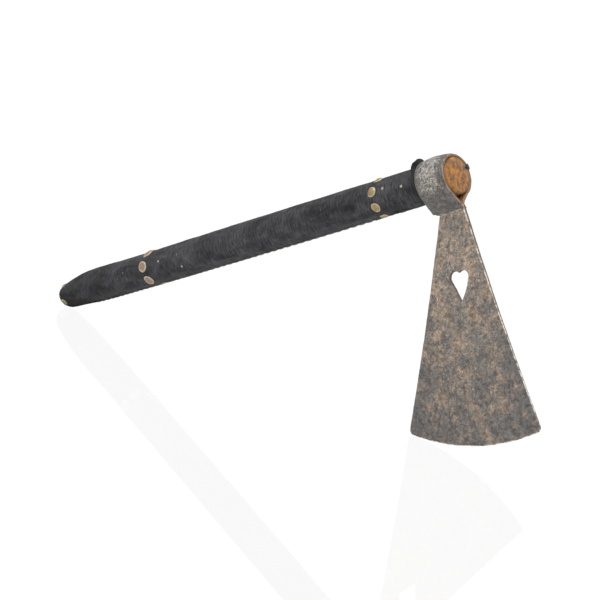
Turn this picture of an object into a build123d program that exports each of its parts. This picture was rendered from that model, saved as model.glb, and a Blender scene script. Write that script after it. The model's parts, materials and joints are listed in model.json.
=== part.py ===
from build123d import *
import os
from math import asin, atan2, cos, degrees, hypot, pi, radians, sin, sqrt

os.makedirs("parts", exist_ok=True)

# Belt axe with a wide thin blade, a wrapped eye and a cloth-covered haft.
# The sub-parts are drawn in the axe's own frame: the haft lies along X with its toe
# towards +X, the eye's centre is the origin and the blade hangs towards -Z.
# stand() then sets the finished axe down on its heel corner and its butt.

# ---------------------------------------------------------------- head, in mm
eye_outer_radius = 18.2
eye_wall = 3.0
eye_width = 27.2              # along the haft
eye_front = 5.8               # front rim, ahead of the eye's centre line
eye_point_depth = 23.7        # where the strap's two sides close under the haft
eye_point_half = 2.8          # half thickness of the closed strap there
lap_lip_half = 2.5            # half thickness at the lower lip of the lap
lap_length = 3.6              # from the eye's point down to the lip
lap_flare = 4.4               # how far the lap runs forward of the front rim
lap_flare_height = 17.0       # height over which the front edge flares
lap_heel = 2.2                # chamfer of the lap's rear lower corner
lap_heel_rise = 1.2           # the lip's rear end stands this much above its front end
lap_sag = 0.8                 # and its middle hangs this much below it

blade_reach = 205.5           # eye centre to each corner of the cutting edge
edge_bow = 1.2                # the edge's middle reaches this much further
blade_cant = 3.0              # degrees that the blade leans towards the butt
neck_half_width = 11.4
edge_half_width = 60.5
side_hollow = 1.4             # how far each side curves in from a straight line
corner_radius = 4.5
neck_thickness = 4.1
bevel_thickness = 1.4
bevel_width = 9.0
edge_thickness = 0.5
fan_margin = 6.0              # degrees the blade's blank fans out past its outline
tongue_tip_half = 0.35        # the blade's tongue, forged thin between the laps

heart_depth = 78.1            # eye centre to the centres of the heart's two lobes
heart_lobe_radius = 4.95
heart_lobe_offset = 3.7
heart_length = 18.4           # from the lobes' centres down to the tip
heart_shift = 1.0             # the piercing sits a little towards the toe

# ---------------------------------------------------------------- haft, in mm
haft_length = 558.0           # toe face to butt face, wrap and cap left off
toe_proud = 0.6               # end grain standing out of the front rim
toe_round = 0.8               # worn rim of the end grain
grip_step = 0.25              # the wrap, just behind the eye, lies this far inside its bore
grip_radius_middle = 17.05
grip_radius_butt = 17.8
butt_taper_length = 56.0
butt_end_radius = 14.0        # over the wrap, at the end of the taper
butt_round = 6.0
grip_steps = 6                # whittled facets along the swell, and on the butt taper
taper_steps = 3
wrap_thickness = 1.2
cap_radius = 10.6
cap_thickness = 1.6
cap_edge_round = 0.5

# ---------------------------------------------------------------- cloth at the eye
collar_width = 5.0
collar_thickness = 1.4
tail_start, tail_middle, tail_end = 20.0, 59.0, 92.0   # degrees round the haft
tail_middle_height = 4.65     # the strip's tail stands on edge this far off the wrap,
tail_end_height = 6.35        # and further at its end
tail_thickness = 1.3
shim_thickness = 1.0
shim_angle = 149.0
shim_span = 52.0
shim_tab_span = 24.0
shim_tab_reach = 0.7          # past the eye's outer surface
shim_tab_thickness = 1.2

# ---------------------------------------------------------------- tacks and thread
small_tack_diameter = 9.5
large_tack_diameter = 12.7
tack_dome = 1.7
dished_rim = 1.4
dish_depth = 0.7
dish_share = 0.84             # the dish's radius, as a share of the head's
dished_bevel_share = 0.4      # where the bevel starts, as a share of the rim's height
tack_head_seat = 0.55         # how far a head's rim beds into the cloth
shank_width = 2.0
shank_tip = 0.7
shank_length = 11.0
shank_stub = 0.35             # height of a shank that has lost its head
head_ring_behind_eye = 45.1   # ring centre, behind the rear rim
head_ring_first_angle = 13.0
butt_ring_from_end = 171.0    # ring centre, from the butt face
butt_ring_first_angle = 1.0
end_tack_from_end = 7.5
end_tack_first_angle = 62.0
end_tack_count = 3
head_ring_wander = (-1.5, 0.5, -3.0, 2.0, 0.0, -2.5, -1.5)    # hand-set, along the haft
butt_ring_wander = (0.0, 2.0, -3.0, 2.0, 5.0, 11.0, 0.5)
stub_places = ((-56.2, 13.0), (-37.0, 2.0), (-354.0, 3.0), (-321.0, -36.0))   # X, angle

thread_diameter = 1.0
stitch_length = 6.0
stitch_pitch = 9.0
seam_angle = -97.0            # the sleeve's seam, on the underside
seam_margin = 22.0            # cloth left unstitched at each end

# ---------------------------------------------------------------- sizes that follow
eye_inner_radius = eye_outer_radius - eye_wall
grip_radius_head = eye_inner_radius - grip_step
eye_back = eye_front - eye_width
lap_bottom = -(eye_point_depth + lap_length)
toe_x = eye_front + toe_proud
butt_x = toe_x - haft_length
cap_x = butt_x - wrap_thickness
taper_x = butt_x + butt_taper_length


def wrap_radius(x):
    """Outer radius of the covered grip at x, between the eye and the butt taper."""
    along = (eye_back - x) / (eye_back - taper_x)
    bow = grip_radius_middle - (grip_radius_head + grip_radius_butt) / 2
    straight = grip_radius_head + (grip_radius_butt - grip_radius_head) * along
    return straight + 4 * bow * along * (1 - along)


def taper_radius(x):
    """Outer radius of the covered grip at x, on the butt taper."""
    along = (taper_x - x) / butt_taper_length
    return grip_radius_butt - (grip_radius_butt - butt_end_radius) * along ** 2


def surface_radius(x):
    return wrap_radius(x) if x > taper_x else taper_radius(x)


def grip_profile(inset):
    """Half section of the grip from the eye to the butt, moved in by inset."""
    swell = [eye_back + (taper_x - eye_back) * i / grip_steps for i in range(grip_steps + 1)]
    corner_x = butt_x - wrap_thickness + inset
    run = taper_x - corner_x - butt_round
    taper = [taper_x - run * i / taper_steps for i in range(1, taper_steps)]
    side = [(x, surface_radius(x) - inset) for x in swell + taper]
    side.append((corner_x + butt_round, butt_end_radius - inset))
    lean = butt_round * (1 - cos(pi / 4))
    round_middle = (corner_x + lean, butt_end_radius - inset - lean)
    round_end = (corner_x, butt_end_radius - inset - butt_round)
    edges = [
        Polyline(*side),
        ThreePointArc(side[-1], round_middle, round_end),
        Line(round_end, (corner_x, 0)),
        Line((corner_x, 0), (eye_back, 0)),
        Line((eye_back, 0), side[0]),
    ]
    return make_face(edges)


def grip_solid(inset):
    return revolve(grip_profile(inset), Axis.X)


def teardrop(radius, half, depth):
    """Teardrop in the YZ plane: a circle whose tangents run down to +-half at -depth."""
    reach = hypot(half, depth)
    lean = atan2(depth, half) - asin(sqrt(1 - (radius / reach) ** 2))
    y, z = radius * cos(lean), -radius * sin(lean)
    edges = [ThreePointArc((y, z), (0, radius), (-y, z)), Line((-y, z), (-half, -depth))]
    if half > 0:
        edges.append(Line((-half, -depth), (half, -depth)))
    edges.append(Line((half, -depth), (y, z)))
    return Plane.YZ * make_face(edges)


def point_below(radius, half, depth):
    """Depth at which the sides of a concentric, smaller teardrop meet."""
    reach = hypot(half, depth)
    lean = atan2(depth, half) - asin(sqrt(1 - (eye_outer_radius / reach) ** 2))
    return radius / sin(lean)


def along_x(face, start, end):
    return Pos(start, 0, 0) * extrude(face, end - start, dir=(1, 0, 0))


def on_haft(shape, x, angle, radius):
    """Turn a shape drawn along +Z so that it stands out of the haft at x and angle."""
    return Pos(x, 0, 0) * Rot(90 - angle, 0, 0) * Pos(0, 0, radius) * shape


# ---------------------------------------------------------------- head
def blade_outline():
    """Side view: flared sides, rounded corners and a bowed cutting edge."""
    top = -point_below(eye_inner_radius, eye_point_half, eye_point_depth)
    edge_z = -sqrt(blade_reach ** 2 - edge_half_width ** 2)
    neck_z = lap_bottom
    chord = Vector(edge_half_width - neck_half_width, edge_z - neck_z)
    inward = Vector(chord.Y, -chord.X).normalized() * side_hollow
    middle = Vector(neck_half_width, neck_z) + chord * 0.5 + inward
    tongue = neck_half_width - lap_heel
    edges = [
        Line((-tongue, top), (tongue, top)),
        Line((tongue, top), (neck_half_width, neck_z)),
        ThreePointArc((neck_half_width, neck_z), (middle.X, middle.Y), (edge_half_width, edge_z)),
        ThreePointArc((edge_half_width, edge_z), (0, -blade_reach - edge_bow), (-edge_half_width, edge_z)),
        ThreePointArc((-edge_half_width, edge_z), (-middle.X, middle.Y), (-neck_half_width, neck_z)),
        Line((-neck_half_width, neck_z), (-tongue, top)),
    ]
    face = make_face(edges)
    corners = face.vertices().sort_by(lambda v: abs(v.X))[-2:]
    return Plane.XZ * fillet(corners, corner_radius)


def blade_section():
    """Half of the section through the blade, thinning from the neck to the edge."""
    top = -point_below(eye_inner_radius, eye_point_half, eye_point_depth)
    bevel = -(blade_reach - bevel_width)
    past_edge = -(blade_reach + edge_bow + 1)
    outline = Polyline(
        (0, top),
        (tongue_tip_half, top),
        (neck_thickness / 2, lap_bottom),
        (bevel_thickness / 2, bevel),
        (edge_thickness / 2, past_edge),
        (0, past_edge),
        close=True,
    )
    half = Plane.YZ * make_face(outline)
    return half + mirror(half, Plane.XZ)


def heart():
    """The piercing: two lobes and two straight sides that run down to a point."""
    x, tip = heart_lobe_offset, heart_length
    reach = hypot(x, tip)
    swing = atan2(tip, -x) - atan2(sqrt(reach ** 2 - heart_lobe_radius ** 2), heart_lobe_radius)
    side = (x + heart_lobe_radius * cos(swing), -heart_lobe_radius * sin(swing))
    body = make_face(Polyline((0, 0), side, (0, -tip), (-side[0], side[1]), close=True))
    lobes = Pos(x, 0) * Circle(heart_lobe_radius) + Pos(-x, 0) * Circle(heart_lobe_radius)
    return Pos(heart_shift, 0, -heart_depth) * (Plane.XZ * (lobes + body))


def make_blade():
    """The section swept as a fan about the eye, then cut to the outline and pierced."""
    corner_angle = degrees(asin(edge_half_width / blade_reach))
    neck_angle = degrees(atan2(neck_half_width, -lap_bottom))
    sweep = max(corner_angle, neck_angle) + fan_margin
    wedge = Rot(0, -sweep, 0) * revolve(blade_section(), Axis.Y, 2 * sweep)
    neck = extrude(blade_section(), neck_half_width, both=True)
    gap = Pos(0, 0, lap_bottom - blade_reach) * Box(4 * blade_reach, 40, 2 * blade_reach)
    wedge = (wedge & gap) + (neck - gap)
    blade = wedge & extrude(blade_outline(), neck_thickness, both=True)
    blade = blade - extrude(heart(), neck_thickness, both=True)
    reach = -blade.bounding_box().min.Z
    if reach < blade_reach - bevel_width:
        raise ValueError(f"the blade lost its edge: it reaches only {reach:.1f} mm")
    return Rot(0, blade_cant, 0) * blade


def strap_outline():
    """Side view of the strap: square rims above, a lap that flares forward below."""
    top = eye_outer_radius + 1
    flare_top = lap_bottom + lap_flare_height
    flare_x = eye_front + lap_flare
    heel_x = eye_back + lap_heel
    heel_z = lap_bottom + lap_heel_rise
    chamfer_z = heel_z + 2.4 * lap_heel
    edges = [
        Line((eye_back, top), (eye_front, top)),
        Line((eye_front, top), (eye_front, flare_top)),
        TangentArc((eye_front, flare_top), (flare_x, lap_bottom), tangent=(0, -1)),
        ThreePointArc((flare_x, lap_bottom), ((flare_x + heel_x) / 2, lap_bottom - lap_sag),
                      (heel_x, heel_z)),
        Line((heel_x, heel_z), (eye_back, chamfer_z)),
        Line((eye_back, chamfer_z), (eye_back, top)),
    ]
    return Plane.XZ * make_face(edges)


def make_strap(blade):
    start, end = eye_back - 1, eye_front + lap_flare + 1
    depth = point_below(eye_inner_radius, eye_point_half, eye_point_depth)
    drop = lap_bottom - 1
    lap = make_face(Polyline(
        (-eye_point_half, -eye_point_depth),
        (eye_point_half, -eye_point_depth),
        (lap_lip_half, drop),
        (-lap_lip_half, drop),
        close=True,
    ))
    outside = teardrop(eye_outer_radius, eye_point_half, eye_point_depth) + Plane.YZ * lap
    inside = teardrop(eye_inner_radius, 0, depth)
    strap = along_x(outside, start, end) - along_x(inside, start - 1, end + 1)
    strap = strap & extrude(strap_outline(), 2 * eye_outer_radius, both=True)
    return strap - blade


# ---------------------------------------------------------------- haft and cloth
def make_core(shim, shanks):
    tenon = Rot(0, 90, 0) * Cylinder(eye_inner_radius, toe_x - eye_back)
    tenon = Pos((toe_x + eye_back) / 2, 0, 0) * tenon
    tenon = fillet(tenon.edges().sort_by(Axis.X)[-1], toe_round)
    return grip_solid(wrap_thickness) + tenon - shim - shanks


def make_wrap(tacks, stitches):
    sleeve = grip_solid(0) - grip_solid(wrap_thickness)
    hem = Rot(0, 90, 0) * Cylinder(butt_end_radius - wrap_thickness - butt_round, 4 * wrap_thickness)
    return sleeve - Pos(cap_x, 0, 0) * hem - tacks - stitches


def make_cap():
    disc = Rot(0, 90, 0) * Cylinder(cap_radius, cap_thickness)
    disc = Pos(cap_x - cap_thickness / 2, 0, 0) * fillet(disc.edges(), cap_edge_round)
    plug = Rot(0, 90, 0) * Cylinder(butt_end_radius - wrap_thickness - butt_round, wrap_thickness)
    return disc + Pos(cap_x + wrap_thickness / 2, 0, 0) * plug


def polar(radius, angle):
    """Point in the YZ plane; angles run from -Y, the near side, up towards +Z."""
    return (-radius * cos(radians(angle)), radius * sin(radians(angle)))


def sector(inner, outer, angle, span):
    """Part of a ring in the YZ plane, centred on angle."""
    first, last = angle - span / 2, angle + span / 2
    edges = [
        ThreePointArc(polar(outer, first), polar(outer, angle), polar(outer, last)),
        Line(polar(outer, last), polar(inner, last)),
        ThreePointArc(polar(inner, last), polar(inner, angle), polar(inner, first)),
        Line(polar(inner, first), polar(outer, first)),
    ]
    return Plane.YZ * make_face(edges)


def make_collar():
    """Strip bound round the haft against the eye, its loose tail standing on edge on top."""
    inner, outer = grip_radius_head, grip_radius_head + collar_thickness
    ring = Plane.YZ * (Circle(outer) - Circle(inner))
    tail = make_face([
        ThreePointArc(polar(outer, tail_start), polar(inner + tail_middle_height, tail_middle),
                      polar(inner + tail_end_height, tail_end)),
        Line(polar(inner + tail_end_height, tail_end), polar(inner, tail_end)),
        ThreePointArc(polar(inner, tail_end), polar(inner, tail_middle), polar(inner, tail_start)),
        Line(polar(inner, tail_start), polar(outer, tail_start)),
    ])
    tail = along_x(Plane.YZ * tail, eye_back - tail_thickness, eye_back)
    return along_x(ring, eye_back - collar_width, eye_back) + tail - grip_solid(0)


def make_shim():
    """Hide strip driven in beside the tenon, its front end turned out over the rim."""
    strip = sector(eye_inner_radius - shim_thickness, eye_inner_radius, shim_angle, shim_span)
    tab = sector(eye_inner_radius - shim_thickness, eye_outer_radius + shim_tab_reach,
                 shim_angle, shim_tab_span)
    return along_x(strip, eye_back, eye_front) + along_x(tab, eye_front, eye_front + shim_tab_thickness)


# ---------------------------------------------------------------- tacks and thread
def shank(stub=0.0):
    """Square, tapered shank; its top is at z = stub."""
    spike = loft([Rectangle(shank_width, shank_width),
                  Pos(0, 0, -shank_length) * Rectangle(shank_tip, shank_tip)])
    if stub > 0:
        spike = spike + extrude(Rectangle(shank_width, shank_width), stub)
    return spike


def domed_head(diameter):
    half = diameter / 2
    ball = (half ** 2 + tack_dome ** 2) / (2 * tack_dome)
    middle = (half / 2, sqrt(ball ** 2 - (half / 2) ** 2) - ball + tack_dome)
    cut = make_face([
        ThreePointArc((half, 0), middle, (0, tack_dome)),
        Line((0, tack_dome), (0, 0)),
        Line((0, 0), (half, 0)),
    ])
    return revolve(Plane.XZ * cut, Axis.Z)


def dished_head(diameter):
    half = diameter / 2
    lip = half * dish_share
    hollow = (lip ** 2 + dish_depth ** 2) / (2 * dish_depth)
    floor = dished_rim - dish_depth
    cut = make_face([
        Line((half, 0), (half, dished_rim * dished_bevel_share)),
        Line((half, dished_rim * dished_bevel_share), (lip, dished_rim)),
        ThreePointArc((lip, dished_rim),
                      (lip / 2, floor + hollow - sqrt(hollow ** 2 - (lip / 2) ** 2)), (0, floor)),
        Line((0, floor), (0, 0)),
        Line((0, 0), (half, 0)),
    ])
    return revolve(Plane.XZ * cut, Axis.Z)


def seam_tack_x(centre_x, first_angle, wander):
    """Where along the haft a ring's tack nearest the seam stands."""
    step = 360 / len(wander)
    index = round((seam_angle - first_angle) / step) % len(wander)
    return centre_x + wander[index]


def ring_of_tacks(head, centre_x, first_angle, wander):
    tacks = []
    for index, offset in enumerate(wander):
        angle = first_angle + index * 360 / len(wander)
        x = centre_x + offset
        radius = surface_radius(x) - tack_head_seat
        tacks.append(on_haft(head + shank(), x, angle, radius))
    return tacks


def make_stubs():
    return [on_haft(shank(shank_stub), x, angle, surface_radius(x)) for x, angle in stub_places]


def covered(x, rings):
    """True where a tack head lies over the seam at x; rings holds (centre, radius) pairs."""
    return any(abs(x - centre) < radius + stitch_length / 2 + 1 for centre, radius in rings)


def make_stitches(seam_tacks):
    """Running stitch along the seam, each stitch bedded half its depth in the cloth."""
    first = eye_back - collar_width - seam_margin
    last = taper_x
    count = int((first - last - stitch_length) / stitch_pitch) + 1
    radius = thread_diameter / 2
    bow = radius * (1 - cos(pi / 4))
    straight = stitch_length - 2 * radius
    profile = make_face([
        Line((radius, 0), (radius, straight)),
        ThreePointArc((radius, straight), (radius - bow, straight + radius - bow),
                      (0, straight + radius)),
        Line((0, straight + radius), (0, -radius)),
        ThreePointArc((0, -radius), (radius - bow, -radius + bow), (radius, 0)),
    ])
    bead = Pos(straight / 2, 0, 0) * Rot(0, -90, 0) * revolve(Plane.XZ * profile, Axis.Z)
    stitches = []
    for index in range(count):
        x = first - stitch_length / 2 - index * stitch_pitch
        if covered(x, seam_tacks):
            continue
        slope = degrees(atan2(surface_radius(x - 1) - surface_radius(x + 1), 2))
        stitches.append(on_haft(Rot(0, slope, 0) * bead, x, seam_angle, surface_radius(x)))
    return stitches


# ---------------------------------------------------------------- standing pose
def stand_angle():
    """Tilt at which the heel corner and the butt's rounded end touch one plane."""
    edge_z = -sqrt(blade_reach ** 2 - edge_half_width ** 2)
    cant = radians(blade_cant)
    heel_x = -(edge_half_width - corner_radius)
    heel_z = edge_z + corner_radius
    heel = (heel_x * cos(cant) + heel_z * sin(cant), -heel_x * sin(cant) + heel_z * cos(cant))
    butt = (butt_x - wrap_thickness + butt_round, -(butt_end_radius - butt_round))
    run, drop = heel[0] - butt[0], butt[1] - heel[1]
    return degrees(atan2(drop, run) + asin((corner_radius - butt_round) / hypot(run, drop)))


def build():
    blade = make_blade()
    strap = make_strap(blade)
    shim = make_shim()
    head_place = (eye_back - head_ring_behind_eye, head_ring_first_angle, head_ring_wander)
    butt_place = (butt_x + butt_ring_from_end, butt_ring_first_angle, butt_ring_wander)
    head_ring = ring_of_tacks(domed_head(small_tack_diameter), *head_place)
    butt_ring = ring_of_tacks(dished_head(large_tack_diameter), *butt_place)
    end_ring = ring_of_tacks(domed_head(small_tack_diameter), butt_x + end_tack_from_end,
                             end_tack_first_angle, (0.0,) * end_tack_count)
    stubs = make_stubs()
    stitches = make_stitches([(seam_tack_x(*head_place), small_tack_diameter / 2),
                              (seam_tack_x(*butt_place), large_tack_diameter / 2)])
    fasteners = head_ring + butt_ring + end_ring + stubs
    return {
        "blade_plate": blade,
        "eye_strap": strap,
        "haft_core": make_core(shim, fasteners),
        "haft_wrap": make_wrap(fasteners, stitches),
        "butt_cap": make_cap(),
        "eye_collar": make_collar(),
        "eye_shim": shim,
        "head_ring_tacks": Compound(head_ring),
        "butt_ring_tacks": Compound(butt_ring),
        "butt_end_tacks": Compound(end_ring),
        "broken_tack_shanks": Compound(stubs),
        "seam_stitches": Compound(stitches),
    }


parts = build()
tilt = Rot(0, -stand_angle(), 0)
standing = {name: tilt * shape for name, shape in parts.items()}
extent = Compound(list(standing.values())).bounding_box()
home = Pos(-(extent.min.X + extent.max.X) / 2, -(extent.min.Y + extent.max.Y) / 2, -extent.min.Z)
for name, shape in standing.items():
    export_step(home * shape, f"parts/{name}.step")

print(f"tilt {stand_angle():.2f} deg, eye centre at {tuple(round(v, 2) for v in home.position)}")
print(f"size {extent.size.X:.1f} x {extent.size.Y:.1f} x {extent.size.Z:.1f} mm")
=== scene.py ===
# %% [markdown]
# # A belt axe, built around its measured frame
# This lesson dresses an old belt axe: a thin forged blade, a bar-iron eye, a wooden haft sewn into
# black cloth, and brass tacks. The frame brings the exact sizes, and every piece made here sits
# where its plain twin sits. We load the frame first and keep its box, so that we can see at the end
# how far the finished axe has grown.

# %% Load the frame
import json
import math
import random

import bpy
import numpy as np
from mathutils import Matrix, Vector, noise
from mathutils.geometry import delaunay_2d_cdt


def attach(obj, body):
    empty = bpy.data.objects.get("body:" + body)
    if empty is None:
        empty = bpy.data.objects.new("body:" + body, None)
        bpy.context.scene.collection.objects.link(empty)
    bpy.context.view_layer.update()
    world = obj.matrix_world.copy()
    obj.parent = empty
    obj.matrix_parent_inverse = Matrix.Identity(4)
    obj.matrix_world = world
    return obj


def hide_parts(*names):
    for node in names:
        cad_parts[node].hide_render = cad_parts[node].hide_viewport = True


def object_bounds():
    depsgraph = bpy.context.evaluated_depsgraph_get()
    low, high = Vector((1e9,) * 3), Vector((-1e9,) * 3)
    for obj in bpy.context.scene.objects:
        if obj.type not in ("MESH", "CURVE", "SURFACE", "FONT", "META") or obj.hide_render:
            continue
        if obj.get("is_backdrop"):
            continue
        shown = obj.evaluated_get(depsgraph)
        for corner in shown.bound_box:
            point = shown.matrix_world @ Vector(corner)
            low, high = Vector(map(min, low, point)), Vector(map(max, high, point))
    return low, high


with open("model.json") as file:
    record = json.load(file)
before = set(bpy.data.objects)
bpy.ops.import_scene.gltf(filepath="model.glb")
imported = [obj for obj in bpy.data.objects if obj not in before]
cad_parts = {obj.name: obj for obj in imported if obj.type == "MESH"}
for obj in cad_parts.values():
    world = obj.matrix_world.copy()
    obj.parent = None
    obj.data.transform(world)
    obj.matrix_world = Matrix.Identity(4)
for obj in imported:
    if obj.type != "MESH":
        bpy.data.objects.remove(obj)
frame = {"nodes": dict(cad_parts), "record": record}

cad_low, cad_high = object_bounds()
print("frame box, mm:", [round(1000 * v) for v in cad_high - cad_low])

# %% [markdown]
# ## The axe's own axes
# A smith and a wood worker both measure from the middle of the eye, with the haft lying level.
# The finished axe leans on its heel and its butt, so everything is drawn in millimetres in the
# level position and turned into place at the end. The turn is read from the flat butt face:
# its normal is the haft's direction.

# %% Axes of the axe
MM = 0.001
mounts = {m["name"]: m for m in frame["record"]["mounts"]}
butt_centre = Vector(mounts["butt_face"]["pos_m"])
along = -Vector(mounts["butt_face"]["axis"]).normalized()
across = Vector((0, 1, 0))
upward = along.cross(across)
turn = Matrix((along, across, upward)).transposed()


def node_points(name):
    """The frame node's corners in the axe's own axes, in mm, measured from the butt face."""
    mesh = frame["nodes"][name].data
    flat = np.empty(3 * len(mesh.vertices))
    mesh.vertices.foreach_get("co", flat)
    return (flat.reshape(-1, 3) - np.array(butt_centre)) @ np.array(turn) / MM


END_GRAIN_PROUD = 0.6
EYE_FRONT, EYE_WIDTH = 5.8, 27.2
toe_from_butt = node_points("haft_core")[:, 0].max()
eye_from_butt = toe_from_butt - END_GRAIN_PROUD - EYE_FRONT
eye_centre = butt_centre + along * eye_from_butt * MM
print("eye centre stands", round(eye_centre.z / MM, 1), "mm high")


def to_row(points):
    """Points in mm in the axe's own axes become points in metres where the axe stands."""
    return np.asarray(points) * MM @ np.array(turn).T + np.array(eye_centre)


# %% [markdown]
# ## Camera, light and floor
# The axe is seen from the toe side, a little above the floor, with a slightly long lens so that the
# haft shrinks away towards the butt. Light comes from large soft boxes and a pale room, as on a
# product table, and the floor is almost white with a faint sheen.

# %% Camera
AZIMUTH, ELEVATION, ROLL = 44.6, 7.6, 8.2
CAMERA_DISTANCE, LENS = 0.928, 60.0
centre = (cad_low + cad_high) / 2
aim = centre + Vector((0.0346, 0.0272, -0.0368))
az, el = math.radians(AZIMUTH), math.radians(ELEVATION)
back = Vector((math.sin(az) * math.cos(el), -math.cos(az) * math.cos(el), math.sin(el)))
camera = bpy.data.objects.new("camera", bpy.data.cameras.new("camera"))
camera.data.lens = LENS
camera.location = aim + back * CAMERA_DISTANCE
camera.rotation_mode = "QUATERNION"
facing = (-back).to_track_quat("-Z", "Y")
camera.rotation_quaternion = facing @ Matrix.Rotation(math.radians(ROLL), 3, "Z").to_quaternion()
bpy.context.collection.objects.link(camera)
bpy.context.scene.camera = camera
print("camera at", [round(v, 3) for v in camera.location])


# %% [markdown]
# ## Soft light
# Four large soft boxes stand round the axe and a pale room fills the shadows. Large boxes are
# used because small lamps would draw hard bright spots on rubbed iron.

# %% Lights and room
def soft_box(name, place, size, power, colour=(1, 1, 1)):
    """A large square light that faces the axe."""
    light = bpy.data.lights.new(name, "AREA")
    light.size, light.energy, light.color = size, power, colour
    lamp = bpy.data.objects.new(name, light)
    lamp.location = place
    lamp.rotation_euler = (Vector((0, 0, 0.1)) - Vector(place)).to_track_quat("-Z", "Y").to_euler()
    bpy.context.collection.objects.link(lamp)


soft_box("overhead_box", (0.1, -0.2, 1.5), 1.6, 26)
soft_box("camera_side_box", (1.3, -1.2, 0.8), 1.2, 13)
soft_box("butt_side_box", (-1.3, -1.0, 0.7), 1.0, 7)
soft_box("rear_box", (0.3, 1.6, 0.9), 1.4, 12)

bpy.context.scene.view_settings.view_transform = "Standard"
room = bpy.data.worlds.new("pale_room")
room.use_nodes = True
room.node_tree.nodes["Background"].inputs["Color"].default_value = (1, 1, 1, 1)
room.node_tree.nodes["Background"].inputs["Strength"].default_value = 1.0
bpy.context.scene.world = room

# %% [markdown]
# ## Small helpers for shaders
# Every finish below is a net of nodes. Writing each node out by hand hides the idea behind the
# clicks, so one helper adds a node, sets its values and joins whatever sockets it is given.


# %% Shader helpers
def feed(tree, socket, value):
    """Join a socket to another one, or set it to a plain value."""
    if isinstance(value, bpy.types.NodeSocket):
        tree.links.new(value, socket)
    else:
        socket.default_value = value


def add(tree, kind, *values, **settings):
    """Add a node. A setting names a property or an input; unnamed values fill inputs in order."""
    made = tree.nodes.new("ShaderNode" + kind)
    for name, value in settings.items():
        if name in made.bl_rna.properties and name.islower():
            setattr(made, name, value)
    for key, value in [*enumerate(values), *settings.items()]:
        if isinstance(key, str) and key in made.bl_rna.properties and key.islower():
            continue
        feed(tree, made.inputs[key.replace("_", " ") if isinstance(key, str) else key], value)
    return made


def sums(tree, operation, *values):
    return add(tree, "Math", *values, operation=operation).outputs[0]


def spread(tree, value, low, high, out_low=0.0, out_high=1.0):
    """Stretch a value from one span to another, held at the ends."""
    return add(tree, "MapRange", value, low, high, out_low, out_high).outputs[0]


def blend(tree, share, first, second, blend_type="MIX"):
    """Mix two colours by share."""
    made = tree.nodes.new("ShaderNodeMix")
    made.data_type, made.blend_type = "RGBA", blend_type
    for number, value in ((0, share), (6, first), (7, second)):
        feed(tree, made.inputs[number], value)
    return made.outputs[2]


def shaded(tree, colour, tone):
    """Darken or lighten a colour by a grey tone."""
    return blend(tree, 1.0, colour, add(tree, "CombineColor", tone, tone, tone).outputs[0], "MULTIPLY")


def clouds(tree, place, scale, detail=4.0, roughness=0.6, distortion=0.0):
    return add(tree, "TexNoise", Vector=place, Scale=scale, Detail=detail, Roughness=roughness,
               Distortion=distortion).outputs[0]


# %% [markdown]
# ## Groups and materials
# These helpers open a new group, use one, and open a new material.


# %% Group and material helpers
def start_group(name, inputs, outputs):
    """A new shader group with named sockets; each is (name, kind) or (name, kind, default)."""
    tree = bpy.data.node_groups.new(name, "ShaderNodeTree")
    for label, kind, *default in inputs:
        socket = tree.interface.new_socket(label, in_out="INPUT", socket_type="NodeSocket" + kind)
        if default:
            socket.default_value = default[0]
    for label, kind in outputs:
        tree.interface.new_socket(label, in_out="OUTPUT", socket_type="NodeSocket" + kind)
    return tree, tree.nodes.new("NodeGroupInput").outputs, tree.nodes.new("NodeGroupOutput").inputs


def use_group(tree, name, **settings):
    made = tree.nodes.new("ShaderNodeGroup")
    made.node_tree = bpy.data.node_groups[name]
    for key, value in settings.items():
        feed(tree, made.inputs[key.replace("_", " ")], value)
    return made.outputs


def start_material(name):
    made = bpy.data.materials.new(name)
    made.use_nodes = True
    return made, made.node_tree, made.node_tree.nodes["Principled BSDF"].inputs


def bump(tree, height, strength, depth_mm):
    return add(tree, "Bump", Height=height, Strength=strength, Distance=depth_mm * MM).outputs[0]


# %% [markdown]
# ## Finding a place on the axe
# Cloth threads run round and along the haft, and wood rings are centred on it, so the shaders need
# the axe's own axes too. This group turns a point on the standing axe back into millimetres along
# the haft and round it. It is a group because the cloth, the wood and the iron all start from it.

# %% Group: place on the axe
HAFT_RADIUS = 17.0
tree, given, result = start_group(
    "place_on_axe", [],
    [("Millimetres", "Vector"), ("Along", "Float"), ("Around", "Float"), ("Radius", "Float")])
here = add(tree, "TexCoord").outputs["Object"]
moved = add(tree, "VectorMath", here, tuple(eye_centre), operation="SUBTRACT").outputs[0]
own = [add(tree, "VectorMath", moved, tuple(axis / MM), operation="DOT_PRODUCT").outputs["Value"]
       for axis in (along, across, upward)]
place = add(tree, "CombineXYZ", *own).outputs[0]
angle = sums(tree, "ARCTAN2", own[1], own[2])
radius = sums(tree, "SQRT", sums(tree, "ADD", sums(tree, "MULTIPLY", own[1], own[1]),
                                 sums(tree, "MULTIPLY", own[2], own[2])))
for socket, value in zip(result, (place, own[0], sums(tree, "MULTIPLY", angle, HAFT_RADIUS), radius)):
    tree.links.new(value, socket)
print("group place_on_axe:", len(tree.nodes), "nodes")

# %% [markdown]
# ## Old iron
# Hand-forged iron turns dark grey under a skin of oxide, browns where it was damp, and is rubbed
# bright along its arrises. One group gives the mottling: clouds of several sizes whose edges are
# broken by finer ones, and pits. The blade and the strap use it with their own colours and amounts, so the
# two look like the same metal with a different life.

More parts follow.
